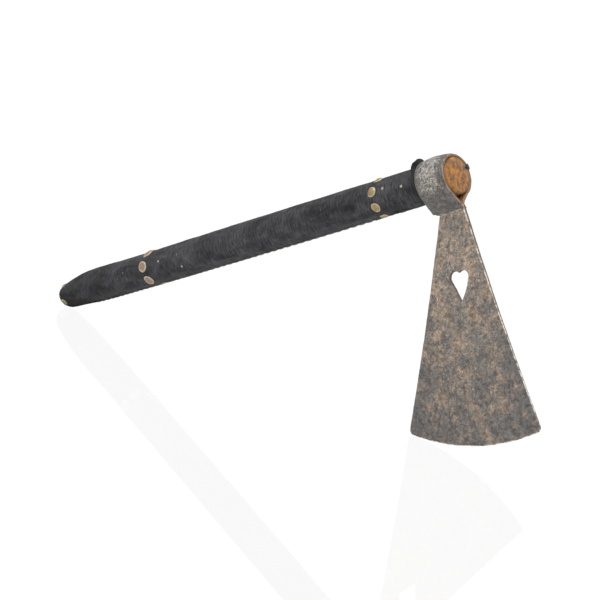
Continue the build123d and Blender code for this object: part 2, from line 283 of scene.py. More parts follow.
# %% Group: iron mottle
tree, given, result = start_group(
    "iron_mottle",
    [("Vector", "Vector"), ("Patch mm", "Float", 6.0), ("Lean", "Float", 0.0), ("Seed", "Float", 0.0)],
    [("Brown", "Float"), ("Pale", "Float"), ("Dark", "Float"), ("Pits", "Float"), ("Grain", "Float")])
shift = add(tree, "CombineXYZ", given["Seed"], given["Seed"], 0.0).outputs[0]
start = add(tree, "VectorMath", given["Vector"], shift).outputs[0]
pace = sums(tree, "DIVIDE", 1.0, given["Patch mm"])
wide = clouds(tree, start, sums(tree, "MULTIPLY", pace, 0.28), 2, 0.5, 0.2)
patch = clouds(tree, start, pace, 10, 0.74, 1.1)
other = clouds(tree, add(tree, "VectorMath", start, (31.0, 17.0, 5.0)).outputs[0],
               sums(tree, "MULTIPLY", pace, 1.7), 10, 0.78, 1.4)
fine = clouds(tree, start, 1.3, 4, 0.7, 0.4)
grain = clouds(tree, start, 3.4, 3, 0.6)
lean = sums(tree, "ADD", sums(tree, "MULTIPLY", wide, 0.5), sums(tree, "MULTIPLY", patch, 0.75))
lean = sums(tree, "ADD", sums(tree, "ADD", lean, given["Lean"]), sums(tree, "MULTIPLY", fine, 0.2))
brown = spread(tree, lean, 0.69, 0.83)
pale = sums(tree, "ADD", sums(tree, "ADD", other, given["Lean"]), sums(tree, "MULTIPLY", fine, 0.25))
pale = spread(tree, pale, 0.66, 0.80)
dark = spread(tree, sums(tree, "ADD", patch, sums(tree, "MULTIPLY", other, 0.5)), 0.66, 0.50)
cells = add(tree, "TexVoronoi", Vector=start, Scale=0.62, Randomness=1.0).outputs["Distance"]
pits = sums(tree, "MULTIPLY", spread(tree, cells, 0.36, 0.08), spread(tree, other, 0.44, 0.58))
for socket, value in zip(result, (brown, pale, dark, pits, grain)):
    tree.links.new(value, socket)
print("group iron_mottle:", len(tree.nodes), "nodes")

# %% [markdown]
# ## Wear and stain
# An iron mesh carries two numbers at every point. One is the distance to the nearest arris that
# gets rubbed. The other is 1 on faces that stay brown, such as a rim or the wall of a hole. Brass
# carries only the first. The group breaks both up with noise, because no edge wears or rusts evenly.

# %% Group: wear and stain
tree, given, result = start_group(
    "wear_and_stain",
    [("Vector", "Vector"), ("Reach", "Float", 0.8), ("Patchiness", "Float", 0.5)],
    [("Wear", "Float"), ("Stain", "Float")])
edge = add(tree, "Attribute", attribute_name="edge_mm").outputs["Fac"]
held = add(tree, "Attribute", attribute_name="stain").outputs["Fac"]
breaks = clouds(tree, given["Vector"], 0.16, 5, 0.75, 0.5)
near = spread(tree, sums(tree, "DIVIDE", edge, given["Reach"]), 1.0, 0.3)
low = sums(tree, "ADD", 0.28, sums(tree, "MULTIPLY", given["Patchiness"], 0.26))
kept = spread(tree, breaks, low, sums(tree, "ADD", low, 0.10))
tree.links.new(sums(tree, "MULTIPLY", near, kept), result[0])
ragged = sums(tree, "ADD", held, sums(tree, "MULTIPLY", sums(tree, "SUBTRACT", breaks, 0.5), 0.9))
tree.links.new(spread(tree, ragged, 0.3, 0.7), result[1])

# %% [markdown]
# ## Two irons
# The blade is browner and duller than the strap. The strap has been rubbed, so it is nearly silver in
# patches along its middle while its edges stay grey. `lean` says where the bloom is thick: towards
# the eye on the blade, and along the middle of the band on the strap. The mottle is laid on twice,
# the second time at a third of the size, for flecks, and blotches about 3 mm wide then darken and
# lighten all of it.


# %% Materials: iron
def forged_iron(name, seed, patch_mm, colours, pale_share, reach, patchiness, dull, bright, lean, uneven):
    """Iron with a brown and a pale bloom; colours are (base, brown, pale, dark, worn, stain)."""
    base, browned, paled, darkened, worn, stained = colours
    made, tree, bsdf = start_material(name)
    spot = use_group(tree, "place_on_axe")
    where = spot["Millimetres"]
    marks = use_group(tree, "iron_mottle", Vector=where, Patch_mm=patch_mm, Seed=seed, Lean=lean(tree, spot))
    flecks = use_group(tree, "iron_mottle", Vector=where, Patch_mm=patch_mm * 0.34, Seed=seed + 60.0,
                       Lean=lean(tree, spot))
    edges = use_group(tree, "wear_and_stain", Vector=where, Reach=reach, Patchiness=patchiness)
    pale = sums(tree, "MULTIPLY", sums(tree, "MAXIMUM", marks["Pale"], flecks["Pale"]), pale_share)
    colour = blend(tree, marks["Dark"], base, darkened)
    colour = blend(tree, marks["Brown"], colour, browned)
    colour = blend(tree, pale, colour, paled)
    colour = blend(tree, sums(tree, "MULTIPLY", flecks["Dark"], 0.6), colour, darkened)
    tone = spread(tree, marks["Grain"], 0.3, 0.7, 0.70, 1.32)
    colour = shaded(tree, colour, tone)
    blotch = clouds(tree, where, 0.30, 4, 0.65, 0.8)
    shade = spread(tree, blotch, 0.34, 0.66, 1.0 - uneven, 1.0 + uneven)
    colour = shaded(tree, colour, shade)
    colour = blend(tree, sums(tree, "MULTIPLY", marks["Pits"], 0.6), colour, darkened)
    colour = blend(tree, edges["Stain"], colour, stained)
    colour = blend(tree, edges["Wear"], colour, worn)
    tree.links.new(colour, bsdf["Base Color"])
    shine = sums(tree, "MAXIMUM", edges["Wear"], pale)
    tree.links.new(spread(tree, shine, 0, 1, 0.12, 0.75), bsdf["Metallic"])
    bsdf["Specular IOR Level"].default_value = 0.35
    rough = sums(tree, "ADD", spread(tree, shine, 0, 1, dull, bright),
                 spread(tree, marks["Grain"], 0.3, 0.7, -0.06, 0.08))
    tree.links.new(rough, bsdf["Roughness"])
    relief = sums(tree, "SUBTRACT", sums(tree, "MULTIPLY", marks["Grain"], 0.35), marks["Pits"])
    relief = sums(tree, "SUBTRACT", relief, sums(tree, "MULTIPLY", marks["Brown"], 0.25))
    tree.links.new(bump(tree, relief, 0.55, 0.12), bsdf["Normal"])
    return made


def towards_eye(tree, spot):
    """Thicker bloom near the eye, thinner at both lower corners."""
    down = add(tree, "SeparateXYZ", spot["Millimetres"]).outputs["Z"]
    high = spread(tree, down, -200.0, -60.0, -0.02, 0.03)
    off = spread(tree, sums(tree, "ABSOLUTE", sums(tree, "ADD", spot["Along"], 8.0)), 20.0, 60.0, 0.0, -0.07)
    return sums(tree, "ADD", high, off)


def middle_of_band(tree, spot):
    """Thickest along the middle of the band, and thin below the eye."""
    off = spread(tree, sums(tree, "ABSOLUTE", sums(tree, "ADD", spot["Along"], 8.0)), 6.0, 17.0, 0.04, -0.10)
    down = add(tree, "SeparateXYZ", spot["Millimetres"]).outputs["Z"]
    return sums(tree, "ADD", off, spread(tree, down, -22.0, -8.0, -0.16, 0.0))


# %% [markdown]
# ## Blade iron and strap iron
# Each iron is the same recipe with its own patch size, colours, wear and unevenness.


# %% Blade and strap iron
blade_iron = forged_iron(
    "blade_iron", 3.0, 4.3,
    ((0.095, 0.089, 0.084, 1), (0.225, 0.165, 0.118, 1), (0.470, 0.395, 0.315, 1),
     (0.030, 0.027, 0.025, 1), (0.60, 0.54, 0.46, 1), (0.085, 0.062, 0.046, 1)),
    0.65, 0.75, 0.6, 0.58, 0.45, towards_eye, 0.5)
strap_iron = forged_iron(
    "strap_iron", 47.0, 4.2,
    ((0.092, 0.086, 0.080, 1), (0.055, 0.045, 0.037, 1), (0.66, 0.62, 0.56, 1),
     (0.026, 0.023, 0.021, 1), (0.60, 0.57, 0.52, 1), (0.180, 0.098, 0.045, 1)),
    0.82, 0.6, 0.55, 0.54, 0.40, middle_of_band, 0.5)

# %% [markdown]
# ## Cloth, hide and thread
# The sleeve is a tight plain weave, black but rubbed grey where hands and shelves touched it. The
# threads are two sets of waves, one round the haft and one along it, each broken up by noise so that
# no row is perfect. Lint and pale scuffs are rare cells and thin clouds.

# %% Group: plain weave
tree, given, result = start_group(
    "plain_weave", [("Along", "Float"), ("Around", "Float"), ("Pitch", "Float", 1.0)],
    [("Height", "Float"), ("Thread tone", "Float")])
slack = clouds(tree, add(tree, "CombineXYZ", given["Along"], given["Around"], 0.0).outputs[0], 0.25, 3)
turns = sums(tree, "DIVIDE", 6.2832, given["Pitch"])
warp_at = sums(tree, "ADD", given["Along"], sums(tree, "MULTIPLY", slack, 2.2))
weft_at = sums(tree, "ADD", given["Around"], sums(tree, "MULTIPLY", slack, 1.6))
warp = sums(tree, "SINE", sums(tree, "MULTIPLY", warp_at, turns))
weft = sums(tree, "SINE", sums(tree, "MULTIPLY", weft_at, turns))
over = sums(tree, "MULTIPLY", warp, weft)
height = sums(tree, "ADD", sums(tree, "MULTIPLY", sums(tree, "ABSOLUTE", warp), 0.8),
              sums(tree, "MULTIPLY", over, 0.35))
cells = add(tree, "CombineXYZ", sums(tree, "DIVIDE", given["Along"], 0.9),
            sums(tree, "DIVIDE", given["Around"], 7.0), 0.0).outputs[0]
tone = clouds(tree, cells, 1.0, 2)
for socket, value in zip(result, (height, tone)):
    tree.links.new(value, socket)


# %% [markdown]
# ## Cloth
# The weave gives the relief and the thread tone. Dust lies in streaks that run round the haft, then
# come lint, pale scuffs and a few tan specks. The cloth is darker towards the butt, and its last few
# millimetres are painted almost black, as painted shade on the rounded end.

# %% Material: cloth
BUTT_DARKENING_SPAN = (-400.0, -520.0)        # along the haft, where the cloth gets darker
# The second span is painted shade: the rounded butt end is painted almost black.
PAINTED_SHADE_END_SPAN = (-545.0, -551.0)   # and where it goes black at the butt


def black_cloth(name, base, rubbed, pitch):
    made, tree, bsdf = start_material(name)
    spot = use_group(tree, "place_on_axe")
    weave = use_group(tree, "plain_weave", Along=spot["Along"], Around=spot["Around"], Pitch=pitch)
    long_place = add(tree, "CombineXYZ", sums(tree, "MULTIPLY", spot["Along"], 0.45), spot["Around"],
                     spot["Radius"]).outputs[0]
    smoky = clouds(tree, long_place, 0.06, 6, 0.65, 0.4)
    scuff = clouds(tree, spot["Millimetres"], 0.16, 8, 0.75, 0.7)
    dust = spread(tree, sums(tree, "ADD", smoky, sums(tree, "MULTIPLY", weave["Thread tone"], 0.35)),
                  0.46, 0.96)
    streak = clouds(tree, add(tree, "CombineXYZ", sums(tree, "MULTIPLY", spot["Along"], 1.6),
                              sums(tree, "MULTIPLY", spot["Around"], 0.22), 0.0).outputs[0], 0.5, 4, 0.7)
    dust = sums(tree, "MULTIPLY", dust, spread(tree, streak, 0.36, 0.64, 0.30, 2.0))
    chalk = sums(tree, "MULTIPLY", spread(tree, scuff, 0.66, 0.74), 0.35)
    colour = blend(tree, dust, base, rubbed)
    lint = clouds(tree, spot["Millimetres"], 0.8, 5, 0.8)
    colour = blend(tree, sums(tree, "MULTIPLY", spread(tree, lint, 0.60, 0.70), 0.5), colour,
                   (0.13, 0.128, 0.122, 1))
    # The cloth is multiplied darker towards the butt over this span.
    butt_darkening = spread(tree, spot["Along"], *BUTT_DARKENING_SPAN, 1.0, 0.62)
    colour = shaded(tree, colour, butt_darkening)
    # Painted shade: the cloth over the rounded butt end is painted almost black.
    colour = blend(tree, spread(tree, spot["Along"], *PAINTED_SHADE_END_SPAN, 0.0, 0.85), colour,
                   (0.006, 0.006, 0.006, 1))
    colour = blend(tree, chalk, colour, (0.20, 0.20, 0.19, 1))
    fleck = add(tree, "TexVoronoi", Vector=spot["Millimetres"], Scale=0.075, Randomness=1.0)
    far = sums(tree, "LESS_THAN", fleck.outputs["Distance"], 0.045)
    colour = blend(tree, sums(tree, "MULTIPLY", far, 0.8), colour, (0.40, 0.24, 0.13, 1))
    tree.links.new(colour, bsdf["Base Color"])
    tree.links.new(spread(tree, weave["Thread tone"], 0.2, 0.8, 0.72, 0.9), bsdf["Roughness"])
    bsdf["Specular IOR Level"].default_value = 0.10
    bsdf["Sheen Weight"].default_value = 0.02
    bsdf["Sheen Roughness"].default_value = 0.5
    relief = sums(tree, "ADD", weave["Height"], sums(tree, "MULTIPLY", scuff, 1.5))
    tree.links.new(bump(tree, relief, 0.7, 0.22), bsdf["Normal"])
    return made


# %% [markdown]
# ## Hide and thread
# Hide is creased and pebbled. Thread shows its twist as slanting bands.


# %% Materials: hide and thread
def hide(name, base, rubbed):
    made, tree, bsdf = start_material(name)
    spot = use_group(tree, "place_on_axe")["Millimetres"]
    cells = add(tree, "TexVoronoi", Vector=spot, Scale=1.3, feature="SMOOTH_F1", Randomness=1.0)
    creases = clouds(tree, spot, 0.6, 6, 0.65, 0.5)
    colour = blend(tree, spread(tree, creases, 0.5, 0.75), base, rubbed)
    tree.links.new(colour, bsdf["Base Color"])
    tree.links.new(spread(tree, creases, 0.3, 0.7, 0.5, 0.75), bsdf["Roughness"])
    relief = sums(tree, "ADD", cells.outputs["Distance"], sums(tree, "MULTIPLY", creases, 1.2))
    tree.links.new(bump(tree, relief, 0.5, 0.2), bsdf["Normal"])
    return made


def twisted_thread(name, base, shade):
    made, tree, bsdf = start_material(name)
    spot = use_group(tree, "place_on_axe")
    wind = sums(tree, "ADD", sums(tree, "MULTIPLY", spot["Along"], 5.2),
                sums(tree, "MULTIPLY", spot["Around"], 5.2))
    strands = sums(tree, "SINE", wind)
    soil = clouds(tree, spot["Millimetres"], 0.9, 4)
    clean = sums(tree, "ADD", soil, sums(tree, "MULTIPLY", strands, 0.12))
    colour = blend(tree, spread(tree, clean, 0.35, 0.65), shade, base)
    tree.links.new(colour, bsdf["Base Color"])
    tree.links.new(spread(tree, soil, 0.3, 0.7, 0.7, 0.95), bsdf["Roughness"])
    tree.links.new(bump(tree, strands, 0.7, 0.08), bsdf["Normal"])
    return made


sleeve_cloth = black_cloth("sleeve_cloth", (0.008, 0.008, 0.009, 1), (0.064, 0.064, 0.068, 1), 1.05)
collar_cloth = black_cloth("collar_cloth", (0.012, 0.012, 0.012, 1), (0.035, 0.035, 0.036, 1), 0.8)
black_hide = hide("black_hide", (0.010, 0.009, 0.009, 1), (0.050, 0.046, 0.042, 1))
seam_thread = twisted_thread("seam_thread", (0.45, 0.34, 0.25, 1), (0.16, 0.12, 0.09, 1))

# %% [markdown]
# ## Wood and brass
# The haft's end grain is open: pores, growth rings and drying cracks that run out from the heart,
# darkened with oil and rust from the eye. Brass tacks dull to olive and stay pale on their raised
# rims, so the brass mixes three tones by the same kind of cloud, with wear on the rim.


# %% Materials: wood and brass
def old_wood(name):
    made, tree, bsdf = start_material(name)
    spot = use_group(tree, "place_on_axe")
    wobble = clouds(tree, spot["Millimetres"], 0.12, 3)
    rings = sums(tree, "SINE", sums(tree, "MULTIPLY", sums(tree, "ADD", spot["Radius"],
                                                        sums(tree, "MULTIPLY", wobble, 7.0)), 2.6))
    stain = clouds(tree, spot["Millimetres"], 0.17, 8, 0.7, 0.4)
    pores = add(tree, "TexVoronoi", Vector=spot["Millimetres"], Scale=0.9, Randomness=1.0).outputs["Distance"]
    specks = spread(tree, add(tree, "TexVoronoi", Vector=spot["Millimetres"], Scale=0.24,
                              Randomness=1.0).outputs["Distance"], 0.24, 0.12)
    colour = blend(tree, spread(tree, stain, 0.40, 0.60), (0.095, 0.060, 0.036, 1), (0.43, 0.180, 0.036, 1))
    colour = blend(tree, spread(tree, rings, -1, 1, 0.0, 0.22), colour, (0.20, 0.10, 0.045, 1))
    colour = blend(tree, spread(tree, pores, 0.22, 0.05, 0.0, 0.5), colour, (0.10, 0.055, 0.03, 1))
    colour = blend(tree, sums(tree, "MULTIPLY", specks, 0.75), colour, (0.055, 0.045, 0.045, 1))
    rim = spread(tree, sums(tree, "ADD", spot["Radius"], sums(tree, "MULTIPLY", stain, 4.0)), 15.2, 17.2)
    colour = blend(tree, sums(tree, "MULTIPLY", rim, 0.6), colour, (0.11, 0.065, 0.035, 1))
    tree.links.new(colour, bsdf["Base Color"])
    tree.links.new(spread(tree, stain, 0.3, 0.7, 0.5, 0.75), bsdf["Roughness"])
    bsdf["Specular IOR Level"].default_value = 0.2
    relief = sums(tree, "ADD", sums(tree, "MULTIPLY", rings, 0.15), sums(tree, "MULTIPLY", pores, 0.6))
    relief = sums(tree, "SUBTRACT", relief, specks)
    tree.links.new(bump(tree, relief, 0.6, 0.25), bsdf["Normal"])
    return made


def old_brass(name, base, tarnish, rubbed):
    made, tree, bsdf = start_material(name)
    spot = use_group(tree, "place_on_axe")["Millimetres"]
    edges = use_group(tree, "wear_and_stain", Vector=spot, Reach=0.9, Patchiness=0.2)
    wear = edges["Wear"]
    film = clouds(tree, spot, 0.45, 7, 0.7, 0.6)
    grain = clouds(tree, spot, 3.0, 3)
    colour = blend(tree, spread(tree, film, 0.40, 0.62), base, tarnish)
    colour = blend(tree, sums(tree, "MULTIPLY", wear, 0.8), colour, rubbed)
    tree.links.new(colour, bsdf["Base Color"])
    tree.links.new(spread(tree, wear, 0, 1, 0.45, 0.75), bsdf["Metallic"])
    tree.links.new(sums(tree, "ADD", spread(tree, film, 0.3, 0.7, 0.42, 0.62),
                        spread(tree, grain, 0.3, 0.7, -0.05, 0.05)), bsdf["Roughness"])
    tree.links.new(bump(tree, sums(tree, "ADD", film, grain), 0.4, 0.12), bsdf["Normal"])
    return made


haft_wood = old_wood("haft_wood")
olive_brass = old_brass(
    "olive_brass", (0.30, 0.225, 0.105, 1), (0.165, 0.125, 0.065, 1), (0.42, 0.36, 0.23, 1))
pale_brass = old_brass(
    "pale_brass", (0.30, 0.20, 0.13, 1), (0.18, 0.12, 0.08, 1), (0.42, 0.37, 0.31, 1))

# %% [markdown]
# ## Small helpers for meshes
# Most pieces are grids: a section carried along a path. One helper turns a block of points into
# quads, another makes the object, puts it on the axe's body and hides the plain node it stands for.


# %% Mesh helpers
def grid_faces(rows, columns, close_rows=False, close_columns=True, start=0):
    """Quads over a block of rows x columns points."""
    i = np.arange(rows if close_rows else rows - 1)[:, None]
    j = np.arange(columns if close_columns else columns - 1)[None, :]
    i2, j2 = (i + 1) % rows, (j + 1) % columns
    quads = np.stack([i * columns + j, i * columns + j2, i2 * columns + j2, i2 * columns + j], -1)
    return (quads.reshape(-1, 4) + start).tolist()


def end_faces(rows, columns, start=0):
    """The two faces that close a tube of rows x columns points."""
    last = start + columns * (rows - 1)
    return [list(range(start, start + columns))[::-1], list(range(last, last + columns))]


def make_piece(name, points, faces, material, node, edge_mm=None, stain=None):
    """A finished mesh from points in mm; edge_mm and stain tell the shader about each point's wear."""
    mesh = bpy.data.meshes.new(name)
    mesh.from_pydata(to_row(points).tolist(), [], faces)
    mesh.validate()
    mesh.polygons.foreach_set("use_smooth", [True] * len(mesh.polygons))
    for label, values in (("edge_mm", edge_mm), ("stain", stain)):
        if values is not None:
            layer = mesh.attributes.new(label, "FLOAT", "POINT")
            layer.data.foreach_set("value", np.asarray(values, dtype=float))
    mesh.materials.append(material)
    made = bpy.data.objects.new(name, mesh)
    bpy.context.collection.objects.link(made)
    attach(made, "root")
    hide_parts(node)
    print(name, len(mesh.vertices), "points,", len(mesh.polygons), "faces")
    return made


def noise_at(points, size_mm, seed=0.0, octaves=3):
    """Smooth noise from about -1 to 1 at each point; size_mm is its largest bump."""
    shift = Vector((seed * 7.31, seed * 3.17, seed * 5.23))
    return np.array([noise.fractal(Vector(p) / size_mm + shift, 1.0, 2.0, octaves) for p in points])


def polar(radius, angle):
    """A point round the haft: angle in degrees from the near side, -Y, up towards +Z."""
    turned = np.radians(angle)
    return -radius * np.cos(turned), radius * np.sin(turned)


def stand_at(x, out, sideways, angle):
    """Points that far out from the haft's middle and that far sideways, at an angle in radians."""
    cos_a, sin_a = -math.cos(angle), math.sin(angle)
    return np.column_stack([x, out * cos_a - sideways * sin_a, out * sin_a + sideways * cos_a])


# %% [markdown]
# ## The blade
# A blade hammered this thin is never flat or even. A box with a bevel would show it at once, so the
# blade is cut like sheet: the outline and the heart are drawn as dense curves, the sheet between them
# is filled with small triangles, and two such sheets stand back to back. Each point's distance to the
# nearest edge rounds the arrises and tells the shader where the iron is rubbed bright.

# %% Blade sizes
BLADE_REACH, BLADE_CANT = 205.5, 3.0
NECK_HALF, EDGE_HALF, SIDE_HOLLOW, CORNER = 11.6, 61.0, 1.4, 3.9
EDGE_BOW = 1.3
LAP_BOTTOM, TONGUE_TOP, TONGUE_STEP = -27.3, -22.3, 2.2
NECK_THICKNESS, BEVEL_THICKNESS, BEVEL_WIDTH, EDGE_THICKNESS = 4.1, 1.4, 9.0, 0.5
HEART_DEPTH, LOBE_RADIUS, LOBE_OFFSET, HEART_LENGTH, HEART_SHIFT = 78.1, 4.95, 3.7, 18.4, 1.0
SHEET_STEP = 0.95


def resample(points, step):
    """Even steps along a polyline; returns the points from its first to its last."""
    points = np.asarray(points, float)
    run = np.concatenate([[0], np.cumsum(np.linalg.norm(np.diff(points, axis=0), axis=1))])
    count = max(2, int(round(run[-1] / step)) + 1)
    at = np.linspace(0, run[-1], count)
    return np.stack([np.interp(at, run, points[:, k]) for k in range(points.shape[1])], 1)


def bowed(start, end, bow, count=60):
    """A shallow curve from start to end, bowed to its left by bow."""
    t = np.linspace(0, 1, count)[:, None]
    start, end = np.array(start, float), np.array(end, float)
    side = np.array([-(end - start)[1], (end - start)[0]])
    return start + (end - start) * t + side / np.linalg.norm(side) * 4 * bow * t * (1 - t)


def blade_side():
    """Toe side of the blade from the tongue down to the middle of the cutting edge."""
    edge_z = -math.sqrt(BLADE_REACH ** 2 - EDGE_HALF ** 2)
    tongue = NECK_HALF - TONGUE_STEP
    flare = bowed((NECK_HALF, LAP_BOTTOM), (EDGE_HALF, edge_z), -SIDE_HOLLOW, 200)
    arc_angle = np.linspace(math.asin(EDGE_HALF / BLADE_REACH), 0, 120)
    arc = np.stack([BLADE_REACH * np.sin(arc_angle), -BLADE_REACH * np.cos(arc_angle)], 1)
    arc[:, 1] -= EDGE_BOW * (1 - (arc[:, 0] / EDGE_HALF) ** 2)
    keep_side = flare[np.linalg.norm(flare - flare[-1], axis=1) > CORNER * 1.05]
    keep_arc = arc[np.linalg.norm(arc - arc[0], axis=1) > CORNER * 1.05]
    t = np.linspace(0, 1, 12)[1:-1, None]
    corner = (1 - t) ** 2 * keep_side[-1] + 2 * t * (1 - t) * flare[-1] + t ** 2 * keep_arc[0]
    return np.concatenate([[[0, TONGUE_TOP], [tongue, TONGUE_TOP]], keep_side, corner, keep_arc])


# %% [markdown]
# ## The heart
# The heart is two round lobes and two sides that run down to a tip. It sits 1 mm towards the toe
# and its toe side is fuller, because a hand-cut heart is never quite even.


# %% Heart and its wander
def heart_outline():
    """The piercing: round lobes, a nearly straight heel side and a fuller toe side."""
    lobe = np.radians(np.linspace(-28, 138, 40))
    right = np.stack([LOBE_OFFSET + LOBE_RADIUS * np.cos(lobe), LOBE_RADIUS * np.sin(lobe)], 1)
    left = np.stack([-right[::-1, 0], right[::-1, 1]], 1)
    tip = np.array([0.3, -HEART_LENGTH - 0.7])
    toe_side = bowed(tip, right[0], -0.9, 24)[1:-1]
    heel_side = bowed(left[-1], tip, 0.35, 24)[1:]
    loop = np.concatenate([right, left, heel_side, toe_side])
    return loop + np.array([HEART_SHIFT, -HEART_DEPTH])


def normals(loop):
    """The sideways direction at each point of a closed outline."""
    out = np.roll(loop, -1, 0) - np.roll(loop, 1, 0)
    return np.stack([out[:, 1], -out[:, 0]], 1) / np.linalg.norm(out, axis=1)[:, None]


def wander(loop, amount, size_mm, seed):
    """Nudge a closed outline as a file or a hammer would have left it."""
    shift = noise_at(np.column_stack([loop, np.zeros(len(loop))]), size_mm, seed, 3)
    return loop + normals(loop) * (amount * shift)[:, None]


# %% [markdown]
# ## Cutting the outline
# The outline and the heart wander a little, as filed iron does, and the cutting edge has small nicks.
# The random numbers are seeded, so every run cuts the same blade.

# %% Blade outline, heart and edge nicks
random.seed(11)
side = blade_side()
outline = resample(np.concatenate([side, np.stack([-side[::-1, 0], side[::-1, 1]], 1)[1:]]), SHEET_STEP)[:-1]
outline = wander(outline, 0.22, 14.0, 1.0)
for _ in range(7):
    nick = math.radians(random.uniform(-15, 15))
    spot = BLADE_REACH * np.array([math.sin(nick), -math.cos(nick)])
    gap = np.linalg.norm(outline - spot, axis=1)
    depth = random.uniform(0.15, 0.45) * np.exp(-(gap / random.uniform(0.8, 1.6)) ** 2)
    outline *= (1 - depth / BLADE_REACH)[:, None]
heart = resample(np.concatenate([heart_outline(), heart_outline()[:1]]), 0.7)[:-1]
heart = wander(heart, 0.18, 3.0, 2.0)
print("outline", len(outline), "points, heart", len(heart), "points")


# %% [markdown]
# ## Measuring inside an outline
# Filling the sheet needs to know which points lie inside an outline and how far they are from it.

# %% Fill the sheet
def distance_to(points, loop):
    """Distance from each point to a dense closed loop."""
    ends = np.roll(loop, -1, 0)
    best = np.full(len(points), 1e9)
    for a, b in zip(loop, ends):
        ab = b - a
        t = np.clip(((points - a) @ ab) / (ab @ ab), 0, 1)
        best = np.minimum(best, np.hypot(*(points - a - t[:, None] * ab).T))
    return best


def inside(points, loop):
    """True for points within a closed loop."""
    hit = np.zeros(len(points), bool)
    for (x1, y1), (x2, y2) in zip(loop, np.roll(loop, -1, 0)):
        crosses = (points[:, 1] < y1) != (points[:, 1] < y2)
        hit ^= crosses & (points[:, 0] < (x2 - x1) * (points[:, 1] - y1) / (y2 - y1 + 1e-12) + x1)
    return hit


def ring_inside(loop, depth, sign):
    """The loop moved sideways by depth, thinned out where it would fold on itself."""
    moved = loop - sign * normals(loop) * depth
    return moved[distance_to(moved, loop) > depth * 0.93]


def runs_clockwise(loop):
    """True when a closed outline turns clockwise."""
    onward = np.roll(loop, -1, 0)
    return np.sum(loop[:, 0] * onward[:, 1] - onward[:, 0] * loop[:, 1]) < 0


# %% [markdown]
# ## The sheet of triangles
# Rings of points run close beside the outline and the heart, so that the arris can be rounded
# there. The rest is a staggered field of points, shaken a little so that the triangles show no rows.

# %% Points and triangles of the sheet
ARRIS_RINGS = (0.16, 0.4, 0.8)
step_y = SHEET_STEP * 0.87
rows = np.arange(-BLADE_REACH, TONGUE_TOP, step_y)
cols = np.arange(-EDGE_HALF - 2, EDGE_HALF + 2, SHEET_STEP)
field = np.array([(x + (k % 2) * SHEET_STEP / 2, z) for k, z in enumerate(rows) for x in cols])
field += np.random.default_rng(5).uniform(-0.12, 0.12, field.shape)
field = field[inside(field, outline) & ~inside(field, heart)]
near_edge = np.minimum(distance_to(field, outline), distance_to(field, heart))
field = field[near_edge > ARRIS_RINGS[-1] + 0.45]
turn_sign = -1 if runs_clockwise(outline) else 1
heart_sign = 1 if runs_clockwise(heart) else -1
rings = [ring_inside(outline, d, turn_sign) for d in ARRIS_RINGS]
rings += [ring_inside(heart, d, heart_sign) for d in ARRIS_RINGS]
flat = np.concatenate([outline, heart, *rings, field])
n_out, n_heart = len(outline), len(heart)
loops = [(i, (i + 1) % n_out) for i in range(n_out)]
loops += [(n_out + i, n_out + (i + 1) % n_heart) for i in range(n_heart)]
verts, _, tris, *_ = delaunay_2d_cdt([Vector(p) for p in flat], loops, [], 0, 1e-6)
flat = np.array([tuple(v) for v in verts])
middles = np.array([flat[list(t)].mean(0) for t in tris])
kept = inside(middles, outline) & ~inside(middles, heart)
tris = [t for t, k in zip(tris, kept) if k]
print("sheet", len(flat), "points,", len(tris), "triangles")


# %% [markdown]
# ## Thickness, hammer marks and walls
# The sheet is doubled and pushed apart by half its thickness, which thins towards the edge. Slow
# waves are shared by both sides, dents and pits belong to one side each, and walls join the two
# sides along the outline and the heart.

# %% Give the sheet its thickness
def half_thickness(points):
    """Half of the blade's thickness, thinning from the neck to the edge."""
    reach = np.where(points[:, 1] > LAP_BOTTOM, -points[:, 1], np.hypot(points[:, 0], points[:, 1]))
    stations = (-TONGUE_TOP, -LAP_BOTTOM, BLADE_REACH - BEVEL_WIDTH, BLADE_REACH)
    halves = (0.35, NECK_THICKNESS / 2, BEVEL_THICKNESS / 2, EDGE_THICKNESS / 2)
    return np.interp(reach, stations, halves)


edge_gap = np.minimum(distance_to(flat, outline), distance_to(flat, heart))
half = half_thickness(flat)
round_off = np.minimum(0.7, half * 0.75)
bite = np.clip(1 - edge_gap / 0.8, 0, 1)
profile = half - round_off * (1 - np.sqrt(1 - bite ** 2))
flat3 = np.column_stack([flat[:, 0], np.zeros(len(flat)), flat[:, 1]])
fade = np.clip((-flat[:, 1] + LAP_BOTTOM) / 6, 0, 1)
planish = 0.16 * noise_at(flat3, 17.0, 3.0, 2) * fade
thin = np.clip(half / 2.0, 0.15, 1)
sides = []
for sign, seed in ((-1, 4.0), (1, 9.0)):
    dents = noise_at(flat3, 5.0, seed, 4) * 0.10
    pitting = -0.16 * np.clip(noise_at(flat3, 2.6, seed + 1, 2) - 0.38, 0, 1)
    sides.append(sign * (profile + (dents + pitting) * thin * np.clip(edge_gap / 1.5, 0.25, 1)) + planish)
sheet_points = np.concatenate([np.column_stack([flat[:, 0], s, flat[:, 1]]) for s in sides])
n = len(flat)
first = flat[list(tris[0])]
ccw = np.cross(first[1] - first[0], first[2] - first[0]) > 0
near_tris = [tuple(t) if ccw else tuple(reversed(t)) for t in tris]
faces = near_tris + [tuple(i + n for i in reversed(t)) for t in near_tris]
wall_points, wall_edge = [], []
